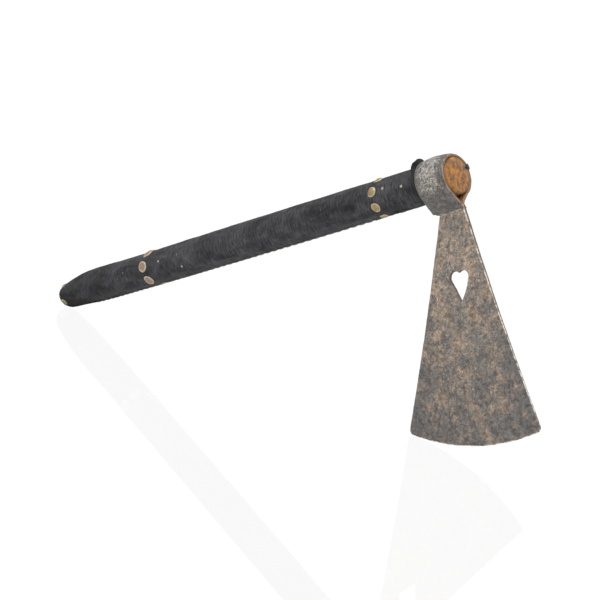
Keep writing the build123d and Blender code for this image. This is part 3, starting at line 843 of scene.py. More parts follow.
for first_index, count, sign in ((0, n_out, turn_sign), (n_out, n_heart, heart_sign)):
    ring = np.arange(first_index, first_index + count)
    loop = flat[ring]
    normal = sign * normals(loop)
    rows_here = [ring]
    for share in (0.2, 0.5, 0.8):
        y = sides[0][ring] * (1 - share) + sides[1][ring] * share
        bulge = 0.10 * math.sin(math.pi * share)
        base_index = 2 * n + sum(len(w) for w in wall_points)
        swelled = loop + normal * bulge
        wall_points.append(np.column_stack([swelled[:, 0], y, swelled[:, 1]]))
        wall_edge.append(share * half[ring] * 2 + 0.3 if share < 0.4 else np.full(count, 9.0))
        rows_here.append(np.arange(base_index, base_index + count))
    rows_here.append(ring + n)
    for upper, lower in zip(rows_here, rows_here[1:]):
        for i in range(count):
            j = (i + 1) % count
            quad = (upper[i], upper[j], lower[j], lower[i])
            faces.append(quad if sign * (1 if ccw else -1) < 0 else quad[::-1])

# %% [markdown]
# ## Finishing the blade
# The edge is swung a few degrees towards the butt. The walls and the rim of the hole stay brown.
# The outer arrises are rubbed bright on both faces, and those of the hole are not.


# %% Blade mesh
blade_points = np.concatenate([sheet_points, *wall_points])
cant = math.radians(BLADE_CANT)
x, z = blade_points[:, 0].copy(), blade_points[:, 2].copy()
blade_points[:, 0] = x * math.cos(cant) + z * math.sin(cant)
blade_points[:, 2] = -x * math.sin(cant) + z * math.cos(cant)
faces = [tuple(int(i) for i in f) for f in faces]
hole_gap = distance_to(flat, heart)
rubbed = np.where(hole_gap < 3, 9.0, edge_gap)
walls = len(blade_points) - 2 * n
brown_wall = np.concatenate([np.clip(1 - hole_gap / 0.5, 0, 1)] * 2 + [np.ones(walls)])
make_piece("blade", blade_points, faces, blade_iron, "blade_plate",
           np.concatenate([rubbed, rubbed, *wall_edge]), brown_wall)

# %% [markdown]
# ## The eye strap
# The eye is a bar folded hot round a mandrel, its two ends laid on the blade and hammered shut. The
# section is a bar with worn corners, and it is carried round a teardrop: from the lip on one side, up
# over the haft and down to the lip on the other. At the bottom the bar is drawn out thin and its front
# edge spreads forward to meet the blade.

# %% Strap sizes and path
EYE_OUTER, EYE_WALL = 18.2, 3.0
POINT_DEPTH, POINT_HALF, LIP_HALF = 23.7, 2.8, 2.5
LAP_FLARE, FLARE_HEIGHT, HEEL_CUT = 4.2, 17.0, 2.4
CROWN_FALL = 0.3
FAR_SIDE_WIDER = 2.1
EYE_INNER = EYE_OUTER - EYE_WALL
EYE_BACK = EYE_FRONT - EYE_WIDTH

reach = math.hypot(POINT_HALF, POINT_DEPTH)
lean = math.atan2(POINT_DEPTH, POINT_HALF) - math.acos(EYE_OUTER / reach)


def strap_path(lap_steps=10, side_steps=16, arc_steps=110):
    """Pairs of outer and inner points round the eye, and how far each is down a lap, 0 to 1."""
    normal = np.array([-math.cos(lean), -math.sin(lean)])
    tangent_outer, tangent_inner = normal * EYE_OUTER, normal * EYE_INNER
    point_outer = np.array([-POINT_HALF, -POINT_DEPTH])
    point_inner = point_outer - normal * EYE_WALL
    outer, inner, lap = [], [], []
    for t in np.linspace(1, 0, lap_steps, endpoint=False):
        outer.append(point_outer * (1 - t) + np.array([-LIP_HALF, LAP_BOTTOM]) * t)
        inner.append(point_inner * (1 - t) + np.array([-NECK_THICKNESS / 2 + 0.25, LAP_BOTTOM]) * t)
        lap.append(t)
    for t in np.linspace(0, 1, side_steps, endpoint=False):
        outer.append(point_outer * (1 - t) + tangent_outer * t)
        inner.append(point_inner * (1 - t) + tangent_inner * t)
        lap.append(0)
    half_turn = math.pi / 2 + lean
    for t in np.linspace(0, 1, arc_steps // 2):
        swing = math.pi + lean - t * half_turn
        ray = np.array([math.cos(swing), math.sin(swing)])
        outer.append(ray * EYE_OUTER)
        inner.append(ray * EYE_INNER)
        lap.append(0)
    outer, inner, lap = np.array(outer), np.array(inner), np.array(lap)
    flip = np.array([-1, 1])
    return (np.concatenate([outer, outer[-2::-1] * flip]), np.concatenate([inner, inner[-2::-1] * flip]),
            np.concatenate([lap, lap[-2::-1]]))


# %% [markdown]
# ## Bending the bar
# One rounded bar section is carried along the path round the eye. It could be a bevelled tube, but
# then the lap could not flare at the front or be cut away at the heel.

# %% Carry the bar round the eye
def bar_section(across_steps=40, wall_steps=5, corner=0.16):
    """A rounded bar section: x share from back to front, depth share from outside to inside."""
    flat_x = np.linspace(0, 1, across_steps)
    ease = np.clip(np.minimum(flat_x, 1 - flat_x) / 0.035, 0, 1)
    top = np.stack([flat_x, corner * (1 - np.sqrt(1 - (1 - ease) ** 2))], 1)
    front = np.stack([np.ones(wall_steps), np.linspace(corner, 1 - corner, wall_steps + 2)[1:-1]], 1)
    under = np.stack([flat_x[::-1], 1 - top[::-1, 1]], 1)
    rear = np.stack([np.zeros(wall_steps), np.linspace(1 - corner, corner, wall_steps + 2)[1:-1]], 1)
    return np.concatenate([top, front, under, rear])


def widened(points):
    """The eye was forged a little wide on its far side, and the wood fills it."""
    out = points.copy()
    share = np.clip(points[:, 1] / EYE_OUTER, 0, 1) * np.clip((points[:, 2] + 22) / 14, 0, 1)
    out[:, 1] += FAR_SIDE_WIDER * share * (3 - 2 * share)
    return out


outer, inner, lap = strap_path()
section = bar_section()
strap_rows, strap_gap, strap_stain = [], [], []
for k, (o, i, t) in enumerate(zip(outer, inner, lap)):
    flare = np.clip((LAP_BOTTOM + FLARE_HEIGHT - o[1]) / FLARE_HEIGHT, 0, 1) ** 2
    heel = np.clip((LAP_BOTTOM + 6.4 - o[1]) / 6.4, 0, 1) ** 1.5
    x = EYE_BACK + HEEL_CUT * heel + section[:, 0] * (
        EYE_WIDTH + LAP_FLARE * flare - HEEL_CUT * heel)
    depth = section[:, 1]
    if k in (0, len(outer) - 1):
        depth = 0.5 + (depth - 0.5) * 0.45
    bulge = 0.8 * np.sin(math.pi * section[:, 0])
    fall = (CROWN_FALL * (1 - section[:, 0]) ** 3 - bulge) * (1 - t) + 0.7 * section[:, 0] ** 4
    thinned = depth + (1 - depth) * fall / EYE_WALL
    yz = o[None, :] * (1 - thinned[:, None]) + i[None, :] * thinned[:, None]
    heel_side = np.clip(1 - section[:, 0] / 0.5, 0, 1)
    rise = t * (1.2 * heel_side ** 2 - 0.6 * np.sin(math.pi * section[:, 0]) + 0.5 * section[:, 0] ** 3)
    strap_rows.append(np.column_stack([x, yz[:, 0], yz[:, 1] + rise]))
    rim = np.minimum(section[:, 0] + 0.01, 1 - section[:, 0]) * EYE_WIDTH
    lip = min(k, len(outer) - 1 - k) * 0.45
    strap_gap.append(np.minimum(rim + np.abs(section[:, 1] - 0.05) * 3.0, lip + 0.1))
    inside_eye = np.clip((section[:, 1] - 0.12) * 6, 0, 1)
    strap_stain.append(inside_eye * (0.35 + 0.65 * (section[:, 0] > 0.5)))

# %% [markdown]
# ## Finishing the strap
# The carried bar is dented, mostly on its outside, and the eye is made a little wide on its far
# side, as it would be if the mandrel had sat crooked.


# %% Strap mesh
strap_points = np.concatenate(strap_rows)
ring_size = len(section)
ray = np.column_stack([np.zeros(len(strap_points)), strap_points[:, 1:]])
ray /= np.linalg.norm(ray, axis=1)[:, None]
outside = np.tile(section[:, 1] < 0.5, len(outer))
dents = 0.20 * noise_at(strap_points, 9.0, 21.0, 2) + 0.10 * noise_at(strap_points, 2.6, 23.0, 3)
strap_points += ray * (dents * np.where(outside, 1.0, 0.25))[:, None]
strap_points[:, 0] += 0.22 * noise_at(strap_points, 8.0, 27.0, 2)
strap_points = widened(strap_points)
strap_faces = grid_faces(len(outer), ring_size)
strap_faces += end_faces(len(outer), ring_size)
make_piece("eye_strap_forged", strap_points, strap_faces, strap_iron, "eye_strap",
           np.concatenate(strap_gap), np.concatenate(strap_stain))

# %% [markdown]
# ## The haft
# Only the toe of the wood shows, in the eye, so the end grain gets the points: a round face of
# many rings, sunk along a few drying cracks, chipped at its upper near side and along the bottom,
# where dark gaps show against the iron, and softly rounded at its rim. Behind the eye the wood runs
# on unseen to the butt. `settle` bends the butt, and the wood, cloth, cap, tacks and stitches all
# follow it.

# %% Haft sizes
GRIP_HEAD, GRIP_MIDDLE, GRIP_BUTT = 14.95, 17.05, 17.8
TAPER_LENGTH, BUTT_END, BUTT_ROUND = 56.0, 14.0, 6.0
WRAP_THICKNESS, CAP_THICKNESS = 1.2, 1.6
TOE_X = EYE_FRONT + END_GRAIN_PROUD
BUTT_X = CAP_THICKNESS + WRAP_THICKNESS - eye_from_butt
TAPER_X = BUTT_X + TAPER_LENGTH


def grip_radius(x):
    """Outer radius of the covered grip at x."""
    t = (EYE_BACK - x) / (EYE_BACK - TAPER_X)
    bow = GRIP_MIDDLE - (GRIP_HEAD + GRIP_BUTT) / 2
    swell = GRIP_HEAD + (GRIP_BUTT - GRIP_HEAD) * t + 4 * bow * t * (1 - t)
    u = np.clip((TAPER_X - x) / TAPER_LENGTH, 0, 1)
    taper = GRIP_BUTT - (GRIP_BUTT - BUTT_END) * u ** 2
    corner = BUTT_X - WRAP_THICKNESS + BUTT_ROUND
    v = np.clip((corner - x) / BUTT_ROUND, 0, 1)
    rounded = BUTT_END - BUTT_ROUND * (1 - np.sqrt(1 - v ** 2))
    return np.where(x > TAPER_X, swell, np.where(x > corner, taper, rounded))


def settle(x, y, z):
    """How far the whittled butt sits up or down: full on top before the end, then dropping."""
    end = np.clip((TAPER_X - x) / TAPER_LENGTH, 0, 1.1)
    top = np.clip(z / GRIP_BUTT, 0, 1)
    low = np.clip(-z / GRIP_BUTT, 0, 1)
    lift = 1.6 * top * np.exp(-((x - BUTT_X - 75) / 38) ** 2) - 4.0 * top * end ** 2
    return lift + 1.1 * low * np.exp(-((x - BUTT_X - 35) / 30) ** 2) - 0.9 * end ** 4


# %% [markdown]
# ## Shaping the wood
# Rings of points make the end grain and run back as the haft. Cracks and chips sink them. In the
# eye the wood follows the widened iron, and behind it the wood follows the whittled butt.

# %% The wood with its end grain
spokes = 96
angles = np.linspace(0, 360, spokes, endpoint=False)
cracks = ((148.0, 1.5, 0.55), (212.0, 1.1, 0.4), (20.0, 0.9, 0.35), (95.0, 0.8, 0.3))
face_rows = []
for share in np.concatenate([[0.02], np.linspace(0.07, 0.95, 22), [0.975, 0.99]]):
    y, z = polar(EYE_INNER * share, angles)
    x = np.full(spokes, TOE_X + 0.9 - 1.3 * share ** 3 - 0.8 * np.clip((share - 0.95) / 0.04, 0, 1) ** 2)
    for at, deep, wide in cracks:
        off = np.abs((angles - at + 180) % 360 - 180) * math.pi / 180 * EYE_INNER * share
        x -= deep * np.exp(-(off / wide) ** 2) * np.clip(share * 1.6 - 0.35, 0, 1)
    chip = np.exp(-(((angles - 52 + 180) % 360 - 180) / 20) ** 2) * np.clip((share - 0.86) / 0.1, 0, 1)
    low_gap = np.exp(-(((angles - 262 + 180) % 360 - 180) / 24) ** 2) * np.clip((share - 0.88) / 0.1, 0, 1)
    x -= 3.2 * chip + 1.6 * low_gap
    face_rows.append(np.column_stack([x, y, z]))
for x in np.concatenate([np.linspace(TOE_X - 1.2, EYE_BACK, 8), [EYE_BACK - 0.1]]):
    y, z = polar(EYE_INNER - 0.05, angles)
    face_rows.append(np.column_stack([np.full(spokes, x), y, z]))
for x in np.linspace(EYE_BACK - 0.2, BUTT_X + 0.6, 60):
    y, z = polar(grip_radius(np.array([x]))[0] - WRAP_THICKNESS - 0.35, angles)
    face_rows.append(np.column_stack([np.full(spokes, x), y, z]))
wood_points = np.concatenate(face_rows)
rough = 0.22 * noise_at(wood_points, 2.2, 31.0, 4) + 0.25 * noise_at(wood_points, 7.0, 33.0, 2)
front = wood_points[:, 0] > EYE_FRONT - 3
wood_points[:, 0] += rough * front
in_eye = wood_points[:, 0] > EYE_BACK
wood_points[in_eye] = widened(wood_points[in_eye])
wood_points[:, 2] += settle(*wood_points.T) * (1 - in_eye)
wood_faces = grid_faces(len(face_rows), spokes)
wood_faces += end_faces(len(face_rows), spokes)
make_piece("haft_wood_core", wood_points, wood_faces, haft_wood, "haft_core")

# %% [markdown]
# ## Where the tacks stand
# The cloth needs to know where each tack is, because a driven tack pulls the cloth down round its
# head. Two rings and three end tacks are placed first, by angle round the haft and by distance along
# it, with the small wandering of a ring set by eye.

# %% Tack places
SMALL_HEAD, LARGE_HEAD = 9.5, 12.7
HEAD_RING_X, HEAD_RING_FIRST = EYE_BACK - 45.1, 13.0
BUTT_RING_X, BUTT_RING_FIRST = BUTT_X + 171.0, 1.0
END_RING_X, END_RING_FIRST = BUTT_X + 7.5, 50.0
END_RING_TURNS = (0, 122, 268)
HEAD_RING_WANDER = (-1.5, 0.5, -3.0, 2.0, 0.0, -2.5, -1.5)
BUTT_RING_WANDER = (0.0, 2.0, -3.0, 2.0, 5.0, 11.0, 0.5)
STUBS = ((-56.2, 13.0), (-37.0, 2.0), (-354.0, 3.0), (-321.0, -36.0))


def ring_places(x, first, wanders):
    return [(x + w, first + k * 360 / len(wanders)) for k, w in enumerate(wanders)]


head_ring = ring_places(HEAD_RING_X, HEAD_RING_FIRST, HEAD_RING_WANDER)
butt_ring = ring_places(BUTT_RING_X, BUTT_RING_FIRST, BUTT_RING_WANDER)
end_ring = [(END_RING_X, END_RING_FIRST + turn) for turn in END_RING_TURNS]

# %% [markdown]
# ## The cloth sleeve
# The sleeve is one strip of cloth, wrapped round the haft and lapped over itself underneath. It is
# one layer of mesh, open along the lap, as the real strip is. The points follow the whittled haft
# and are then given what cloth has: soft lumps, a pull towards each tack, a ridge over the lap, and
# a rounded end gathered in over the butt.

# %% Sleeve
SEAM_ANGLE, LAP_WIDTH = -97.0, 8.0
CLOTH_STEP, AROUND_STEPS = 1.15, 138


def angle_gap(first, second):
    """Difference between two angles in degrees, from 0 to 180."""
    return np.abs((first - second + 180) % 360 - 180)


def tack_pull(x, turn_at, radius):
    """How far the tacks draw the cloth in, and the small swell that stands round each head."""
    pull = np.zeros_like(radius)
    for places, head in ((head_ring, SMALL_HEAD), (butt_ring, LARGE_HEAD), (end_ring, SMALL_HEAD)):
        for tack_x, tack_angle in places:
            side_gap = np.radians(angle_gap(turn_at, tack_angle)) * radius
            gap = np.hypot(x - tack_x, side_gap)
            pull += 0.5 * np.exp(-(gap / (head * 0.42)) ** 2)
            pull -= 0.22 * np.exp(-((gap - head * 0.64) / 1.2) ** 2)
    return pull


straight_x = np.arange(EYE_BACK - 0.1, BUTT_X + BUTT_ROUND, -CLOTH_STEP)
swing = np.linspace(0, 1, 17)[1:]
end_x = BUTT_X - WRAP_THICKNESS + BUTT_ROUND * (1 - np.sin(swing * math.pi / 2))
end_radius = BUTT_END - BUTT_ROUND * (1 - np.cos(swing * math.pi / 2))
row_x = np.concatenate([straight_x, end_x])
row_radius = np.concatenate([grip_radius(straight_x), end_radius])
lap_degrees = math.degrees(LAP_WIDTH / GRIP_MIDDLE)
spin = np.linspace(0, 360 + lap_degrees, AROUND_STEPS)
grid_x, grid_spin = np.meshgrid(row_x, spin, indexing="ij")
turn_at = SEAM_ANGLE - lap_degrees / 2 + grid_spin
radius = np.repeat(row_radius[:, None], AROUND_STEPS, axis=1)
over = np.clip((grid_spin - 360) / 4, 0, 1)
last = np.clip((360 + lap_degrees - grid_spin) / 2.5, 0, 1)
radius = radius + 0.55 * over * (0.35 + 0.65 * np.sqrt(last)) - tack_pull(grid_x, turn_at, radius)
y, z = polar(radius, turn_at)
cloth_points = np.column_stack([grid_x.ravel(), y.ravel(), z.ravel()])
lumps = 0.30 * noise_at(cloth_points * np.array([0.35, 1, 1]), 9.0, 41.0, 2)
lumps += 0.12 * noise_at(cloth_points, 3.2, 43.0, 3)
y, z = polar(radius.ravel() + lumps, turn_at.ravel())
cloth_points = np.column_stack([grid_x.ravel(), y, z + settle(grid_x.ravel(), y, z)])
cloth_faces = [f[::-1] for f in grid_faces(len(row_x), AROUND_STEPS, close_columns=False)]
sleeve = make_piece("cloth_sleeve", cloth_points, cloth_faces, sleeve_cloth, "haft_wrap")

# %% [markdown]
# ## Butt cap
# A disc of hide closes the sleeve's end. It has a soft edge and a slightly sunk middle, and it is
# pushed out of round, as stiff hide is when it dries over end grain.

# %% Butt cap
CAP_RADIUS, CAP_SPOKES = 10.6, 96
cap_rows = []
for share, out in ((0.02, 0.75), (0.25, 0.8), (0.5, 0.9), (0.7, 1.0), (0.86, 0.96), (0.95, 0.8), (1.0, 0.5),
                   (0.97, 0.2), (0.9, 0.0)):
    y, z = polar(CAP_RADIUS * share, np.linspace(0, 360, CAP_SPOKES, endpoint=False))
    x = np.full(CAP_SPOKES, BUTT_X - WRAP_THICKNESS - CAP_THICKNESS * out)
    cap_rows.append(np.column_stack([x, y, z]))
cap_points = np.concatenate(cap_rows)
cap_points[:, 0] += 0.28 * noise_at(cap_points, 5.0, 51.0, 3)
cap_points[:, 1:] *= (1 + 0.03 * noise_at(cap_points, 7.0, 53.0, 2))[:, None]
cap_points[:, 2] += settle(*cap_points.T)
cap_faces = [f[::-1] for f in grid_faces(len(cap_rows), CAP_SPOKES)] + [list(range(CAP_SPOKES))]
make_piece("butt_cap_hide", cap_points, cap_faces, black_hide, "butt_cap")

# %% [markdown]
# ## Collar behind the eye
# A strip of the same cloth, folded once along its length, is bound round the haft against the iron.
# Its raw edges are against the eye and its fold faces the butt. The strip goes once round, and its
# tail turns to stand on edge as it climbs the near side, and ends near the top, a little crumpled.

# %% Collar
COLLAR_WIDTH, COLLAR_THICKNESS = 5.0, 1.4
FOLD_STEPS, RING_STEPS, TAIL_STEPS = 25, 150, 60
TAIL_START, TAIL_END, TAIL_ROOT = 28.0, 88.0, 15.7
fold_u, fold_v = [], []
for t in np.linspace(0, 1, FOLD_STEPS):
    bend = math.radians(180 * np.clip((t - 0.42) / 0.16, 0, 1))
    run = COLLAR_WIDTH - 0.6
    fold_u.append(run * min(t / 0.42, 1) + 0.6 * math.sin(bend) - run * max(0, (t - 0.58) / 0.42))
    fold_v.append(0.5 + 0.5 * math.cos(bend))
fold_u, fold_v = np.array(fold_u), np.array(fold_v) * (COLLAR_THICKNESS - 0.25)
ring_turn = TAIL_START - 8 - np.linspace(360, 0, RING_STEPS)
tail_turn = np.linspace(TAIL_START - 7, TAIL_END, TAIL_STEPS)
collar_rows = []
for number, at in enumerate(np.concatenate([ring_turn, tail_turn])):
    free = np.clip((at - TAIL_START) / 36, 0, 1) if number >= RING_STEPS else 0.0
    twist = math.pi / 2 * (3 * free ** 2 - 2 * free ** 3) * 0.94
    root = GRIP_HEAD + 0.15 + (TAIL_ROOT - GRIP_HEAD) * free
    end = 1 - 0.55 * np.clip((at - TAIL_END + 9) / 9, 0, 1) ** 2 if number >= RING_STEPS else 1.0
    back = fold_u * math.cos(twist) + (COLLAR_THICKNESS - fold_v) * math.sin(twist)
    out = fold_u * math.sin(twist) * end * 1.08 + fold_v * math.cos(twist)
    y, z = polar(root + out, at + 4 * free * math.sin(at * 0.3))
    collar_rows.append(np.column_stack([EYE_BACK - 0.1 - back, y, z]))
collar_points = np.concatenate(collar_rows)
collar_points[:, 0] += -0.3 + 0.30 * noise_at(collar_points, 6.0, 61.0, 2)
crumple = 0.25 * noise_at(collar_points, 3.5, 63.0, 3)
reach = np.linalg.norm(collar_points[:, 1:], axis=1)
collar_points[:, 1:] *= (1 + crumple / reach)[:, None]
collar_points[:, 0] = np.minimum(collar_points[:, 0], EYE_BACK - 0.03)
collar_faces = grid_faces(len(collar_rows), FOLD_STEPS, close_columns=False)
collar = make_piece("cloth_collar", collar_points, collar_faces, collar_cloth, "eye_collar")

# %% [markdown]
# ## Shim
# The tenon is packed with a strip of hide so that the head sits tight. Its front end is turned out
# over the iron rim and stands there as a small black tab.

# %% Shim
SHIM_THICKNESS, SHIM_ANGLE, SHIM_SPAN, SHIM_STEPS = 1.0, 149.0, 52.0, 40
TAB_SPAN, TAB_REACH, TAB_THICKNESS = 19.0, -0.6, 1.0
shim_rows = []
for share in np.linspace(-0.5, 0.5, SHIM_STEPS):
    at = SHIM_ANGLE + SHIM_SPAN * share
    tab = float(np.clip((TAB_SPAN / SHIM_SPAN / 2 - abs(share)) / 0.035, 0, 1))
    inner_r, outer_r = EYE_INNER - SHIM_THICKNESS, EYE_INNER - 0.03
    tab_r = outer_r + (EYE_OUTER + TAB_REACH - outer_r) * tab
    front = EYE_FRONT + 0.25 + (TAB_THICKNESS - 0.25) * tab
    loop = [(EYE_BACK + 1, inner_r), (EYE_FRONT - 4, inner_r), (front - 0.3, inner_r),
            (front, inner_r + 0.35), (front, (inner_r + tab_r) / 2), (front, tab_r - 0.35),
            (front - 0.3, tab_r),
            (EYE_FRONT + 0.12, tab_r), (EYE_FRONT + 0.06, (outer_r + tab_r) / 2),
            (EYE_FRONT + 0.04, outer_r), (EYE_FRONT - 4, outer_r), (EYE_BACK + 1, outer_r)]
    y, z = polar(np.array([p[1] for p in loop]), at)
    shim_rows.append(np.column_stack([[p[0] for p in loop], y, z]))
shim_points = np.concatenate(shim_rows)
shim_points[:, 0] += 0.22 * noise_at(shim_points, 2.2, 71.0, 3) * (shim_points[:, 0] > EYE_FRONT + 0.4)
shim_points = widened(shim_points)
shim_faces = grid_faces(len(shim_rows), len(loop)) + end_faces(len(shim_rows), len(loop))
make_piece("hide_shim", shim_points, shim_faces, black_hide, "eye_shim")

# %% [markdown]
# ## Brass tacks
# The small tacks have low domes and the large ones are dished, with a raised pale rim. No two are
# alike: each is knocked a little flat, its rim is out of round, and it leans a degree or two. Every
# tack is turned from a profile, dented with noise, and laid on the cloth where it was driven.

# %% Tacks
TACK_DOME, DISHED_RIM, DISH_DEPTH, HEAD_SEAT = 1.7, 1.4, 0.7, 0.55
SHANK_WIDTH, SHANK_TIP, SHANK_LENGTH, SHANK_STUB = 2.0, 0.7, 11.0, 0.35
HEAD_STEPS = 56
WORN_SMALLER = 0.92


def dome_profile(half):
    """(radius, height, how near the worn rim) from the middle out and under."""
    ball = (half ** 2 + TACK_DOME ** 2) / (2 * TACK_DOME)
    rows = [(r, math.sqrt(ball ** 2 - r * r) - ball + TACK_DOME, abs(half * 0.9 - r))
            for r in half * np.linspace(0.02, 0.985, 16)]
    return rows + [(half, 0.12, 0.5), (half * 0.985, -0.03, 1.2), (half * 0.6, 0.0, 3),
                   (SHANK_WIDTH / 2, 0.0, 3)]


def dish_profile(half):
    """A shallow bowl inside a bevelled, softly rounded rim."""
    lip = half * 0.84
    rows = [(r, DISHED_RIM - DISH_DEPTH * (1 - (r / lip) ** 2), (lip - r) * 0.8 + 0.1)
            for r in lip * np.linspace(0.02, 0.96, 14)]
    rows += [(lip * 1.0, DISHED_RIM - 0.02, 0.0), (lip * 1.05, DISHED_RIM - 0.04, 0.0),
             (half * 0.93, DISHED_RIM * 0.82, 0.2), (half * 0.985, DISHED_RIM * 0.5, 0.5)]
    return rows + [(half, 0.3, 0.9), (half * 0.985, 0.0, 1.2), (half * 0.6, 0.0, 3),
                   (SHANK_WIDTH / 2, 0.0, 3)]


# %% [markdown]
# ## Laying the tacks
# A tack is turned from its profile, dented, leaned, and set on the cloth where it was driven.


# %% Tack meshes
def tack_mesh(places, diameter, profile, seed, stub=False):
    """Points, faces and edge distances for several tacks at (x, angle) places."""
    points, faces, gaps = [], [], []
    shaker = random.Random(seed)
    for number, (x, at) in enumerate(places):
        rows, near = [], []
        spin = np.radians(np.linspace(0, 360, HEAD_STEPS, endpoint=False))
        for r, height, gap in ([] if stub else profile(diameter / 2)):
            rows.append(np.column_stack([r * np.cos(spin), r * np.sin(spin), np.full(HEAD_STEPS, height)]))
            near += [gap] * HEAD_STEPS
        corner = (np.abs(np.cos(spin)) ** 8 + np.abs(np.sin(spin)) ** 8) ** (-1 / 8)
        depths = ((SHANK_STUB, SHANK_WIDTH * 0.2), (SHANK_STUB, SHANK_WIDTH * 0.9)) if stub else ()
        for height, width in (*depths, (-0.2, SHANK_WIDTH), (-SHANK_LENGTH, SHANK_TIP)):
            rows.append(np.column_stack([corner * np.cos(spin) * width / 2, corner * np.sin(spin) * width / 2,
                                         np.full(HEAD_STEPS, height)]))
            near += [0.3 if stub else 3] * HEAD_STEPS
        block = np.concatenate(rows)
        head = block[:, 2] > -0.1
        dent = noise_at(block, 3.2, seed + number, 3)
        block[:, 2] += head * 0.16 * dent * (0 if stub else 1) + (0.10 * dent if stub else 0) * head
        block[:, :2] *= (1 + 0.02 * noise_at(block, 4.0, seed + 40 + number, 2) * head)[:, None]
        lean = [math.radians(shaker.uniform(-2.5, 2.5)) for _ in range(2)]
        block[:, 2] += head * (block[:, 0] * lean[0] + block[:, 1] * lean[1])
        seat = float(grip_radius(np.array([x]))[0]) - (0 if stub else HEAD_SEAT)
        slope = float(grip_radius(np.array([x + 1]))[0] - grip_radius(np.array([x - 1]))[0]) / 2
        block[:, 2] += block[:, 0] * slope
        placed = stand_at(x + block[:, 0], seat + block[:, 2], block[:, 1], math.radians(at))
        placed[:, 2] += settle(x, 0.0, seat * math.sin(math.radians(at)))
        start = sum(len(p) for p in points)
        count = len(rows)
        faces += [f[::-1] for f in grid_faces(count, HEAD_STEPS, start=start)]
        faces.append(list(range(start, start + HEAD_STEPS)))
        faces.append(list(range(start + (count - 1) * HEAD_STEPS, start + count * HEAD_STEPS))[::-1])
        points.append(placed)
        gaps += near
    return np.concatenate(points), faces, gaps


small_worn, large_worn = SMALL_HEAD * WORN_SMALLER, LARGE_HEAD * WORN_SMALLER
for name, places, diameter, profile, seed, finish, node in (
        ("small_tacks_at_head", head_ring, small_worn, dome_profile, 81, olive_brass, "head_ring_tacks"),
        ("large_tacks_at_butt", butt_ring, large_worn, dish_profile, 91, pale_brass, "butt_ring_tacks"),
        ("small_tacks_at_end", end_ring, small_worn, dome_profile, 101, olive_brass, "butt_end_tacks"),
        ("broken_shanks", STUBS, 0, None, 111, olive_brass, "broken_tack_shanks")):
    points, faces, gaps = tack_mesh(places, diameter, profile, seed, stub=profile is None)
    make_piece(name, points, faces, finish, node, gaps)

# %% [markdown]
# ## Seam thread
# A running stitch holds the lap underneath. Each stitch is a short length of two-ply thread that
# dives into the cloth at both ends, so it is drawn as two strands twisted round a bowed line.

# %% Seam thread
STITCH_LENGTH, STITCH_PITCH, SEAM_MARGIN, PLY_RADIUS = 6.0, 9.0, 22.0, 0.27
PLY_STEPS, PLY_SIDES = 22, 10


def nearest_seam_tack(places):
    return min(places, key=lambda p: angle_gap(p[1], SEAM_ANGLE))[0]


first_x = EYE_BACK - COLLAR_WIDTH - SEAM_MARGIN
stitch_count = int((first_x - TAPER_X - STITCH_LENGTH) / STITCH_PITCH) + 1
heads_over_seam = ((nearest_seam_tack(head_ring), SMALL_HEAD / 2),
                   (nearest_seam_tack(butt_ring), LARGE_HEAD / 2))
thread_points, thread_faces = [], []
for number in range(stitch_count):
    x = first_x - STITCH_LENGTH / 2 - number * STITCH_PITCH
    if any(abs(x - at) < half + STITCH_LENGTH / 2 + 1 for at, half in heads_over_seam):
        continue
    base = float(grip_radius(np.array([x]))[0]) + 0.42
    base -= float(settle(x, 0.0, -base))
    for ply in (0, 1):
        start = sum(len(p) for p in thread_points)
        for t in np.linspace(-1, 1, PLY_STEPS):
            twist = 2.6 * math.pi * t + ply * math.pi
            bow = 0.34 - 0.75 * max(0.0, abs(t) - 0.72) ** 1.2 * 6 * 0.5
            middle = np.array([x + t * STITCH_LENGTH / 2, 0.22 * math.cos(twist),
                               base + bow + 0.2 * math.sin(twist)])
            ends = np.sqrt(max(0.02, 1 - max(0.0, abs(t) - 0.9) * 9.5))
            round_it = np.radians(np.linspace(0, 360, PLY_SIDES, endpoint=False))
            ring = np.column_stack([np.zeros(PLY_SIDES), np.cos(round_it), np.sin(round_it)])
            local = middle + PLY_RADIUS * ends * ring
            angle = math.radians(SEAM_ANGLE + 0.6 * math.sin(number * 2.1))
            thread_points.append(stand_at(local[:, 0], local[:, 2], local[:, 1], angle))
        thread_faces += grid_faces(PLY_STEPS, PLY_SIDES, start=start)
        thread_faces += end_faces(PLY_STEPS, PLY_SIDES, start)
thread = make_piece("seam_thread", np.concatenate(thread_points), thread_faces, seam_thread,
                    "seam_stitches")
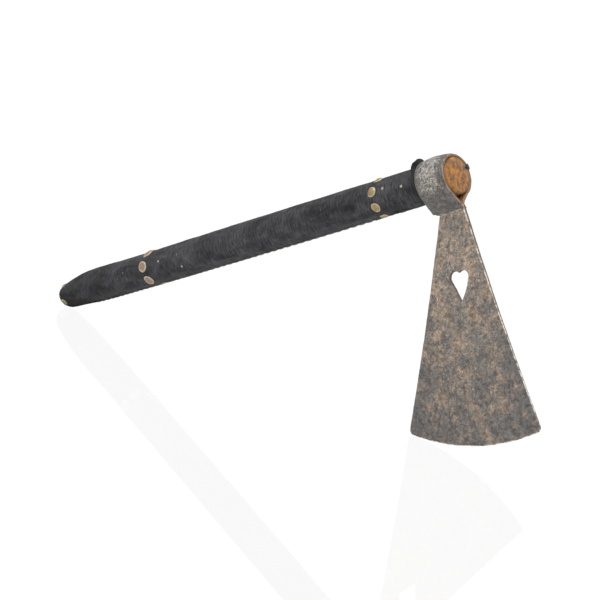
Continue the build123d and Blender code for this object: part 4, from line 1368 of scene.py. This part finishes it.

# %% [markdown]
# ## Flat cloth
# The sleeve and the collar are cut from flat cloth.

# %% [markdown]
# ## The floor
# The floor is a plain white sheet, so bright that it merges with the room behind it. It is faintly
# glossy, which is what gives a soft, pale reflection under the axe. It lights the axe only as a pale
# table would: its glow is for the eye alone.

# %% Floor and bright room
WHITE_GLOW = 1.04
ROOM_GLOW = 0.55
GLOSS_SHARE = 0.10
floor_mesh = bpy.data.meshes.new("floor")
floor_corners = [(-8, -8, -0.0005), (8, -8, -0.0005), (8, 8, -0.0005), (-8, 8, -0.0005)]
floor_mesh.from_pydata(floor_corners, [], [(0, 1, 2, 3)])
floor = bpy.data.objects.new("floor", floor_mesh)
bpy.context.collection.objects.link(floor)
floor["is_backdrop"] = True
table_white, tree, bsdf = start_material("table_white")
bsdf["Base Color"].default_value = (0.8, 0.8, 0.8, 1)
bsdf["Roughness"].default_value = 0.6
glow = add(tree, "Emission", Color=(1, 1, 1, 1), Strength=WHITE_GLOW)
gloss = tree.nodes.new("ShaderNodeBsdfGlossy")
gloss.inputs["Roughness"].default_value = 0.0
gloss.inputs["Color"].default_value = (1, 1, 1, 1)
seen = tree.nodes.new("ShaderNodeMixShader")
seen.inputs[0].default_value = GLOSS_SHARE
tree.links.new(glow.outputs[0], seen.inputs[1])
tree.links.new(gloss.outputs[0], seen.inputs[2])
either = tree.nodes.new("ShaderNodeMixShader")
rays = tree.nodes.new("ShaderNodeLightPath")
tree.links.new(rays.outputs["Is Camera Ray"], either.inputs[0])
tree.links.new(tree.nodes["Principled BSDF"].outputs[0], either.inputs[1])
tree.links.new(seen.outputs[0], either.inputs[2])
tree.links.new(either.outputs[0], tree.nodes["Material Output"].inputs["Surface"])
floor_mesh.materials.append(table_white)

sky = room.node_tree
rays = sky.nodes.new("ShaderNodeLightPath")
eye_or_mirror = sums(sky, "MAXIMUM", rays.outputs["Is Camera Ray"], rays.outputs["Is Singular Ray"])
sky_strength = sky.nodes["Background"].inputs["Strength"]
sky.links.new(spread(sky, eye_or_mirror, 0, 1, ROOM_GLOW, WHITE_GLOW), sky_strength)

# %% [markdown]
# ## Check the size and finish
# The finished axe should fill the frame's box. It stands about 2 mm proud of it on the far side,
# where the eye was forged wide, less than 1 mm proud elsewhere, and about 1.5 mm short at the butt.

# %% Sizes
low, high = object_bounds()
print("grown by, mm:", [round(1000 * v, 2) for v in (*(cad_low - low), *(high - cad_high))])
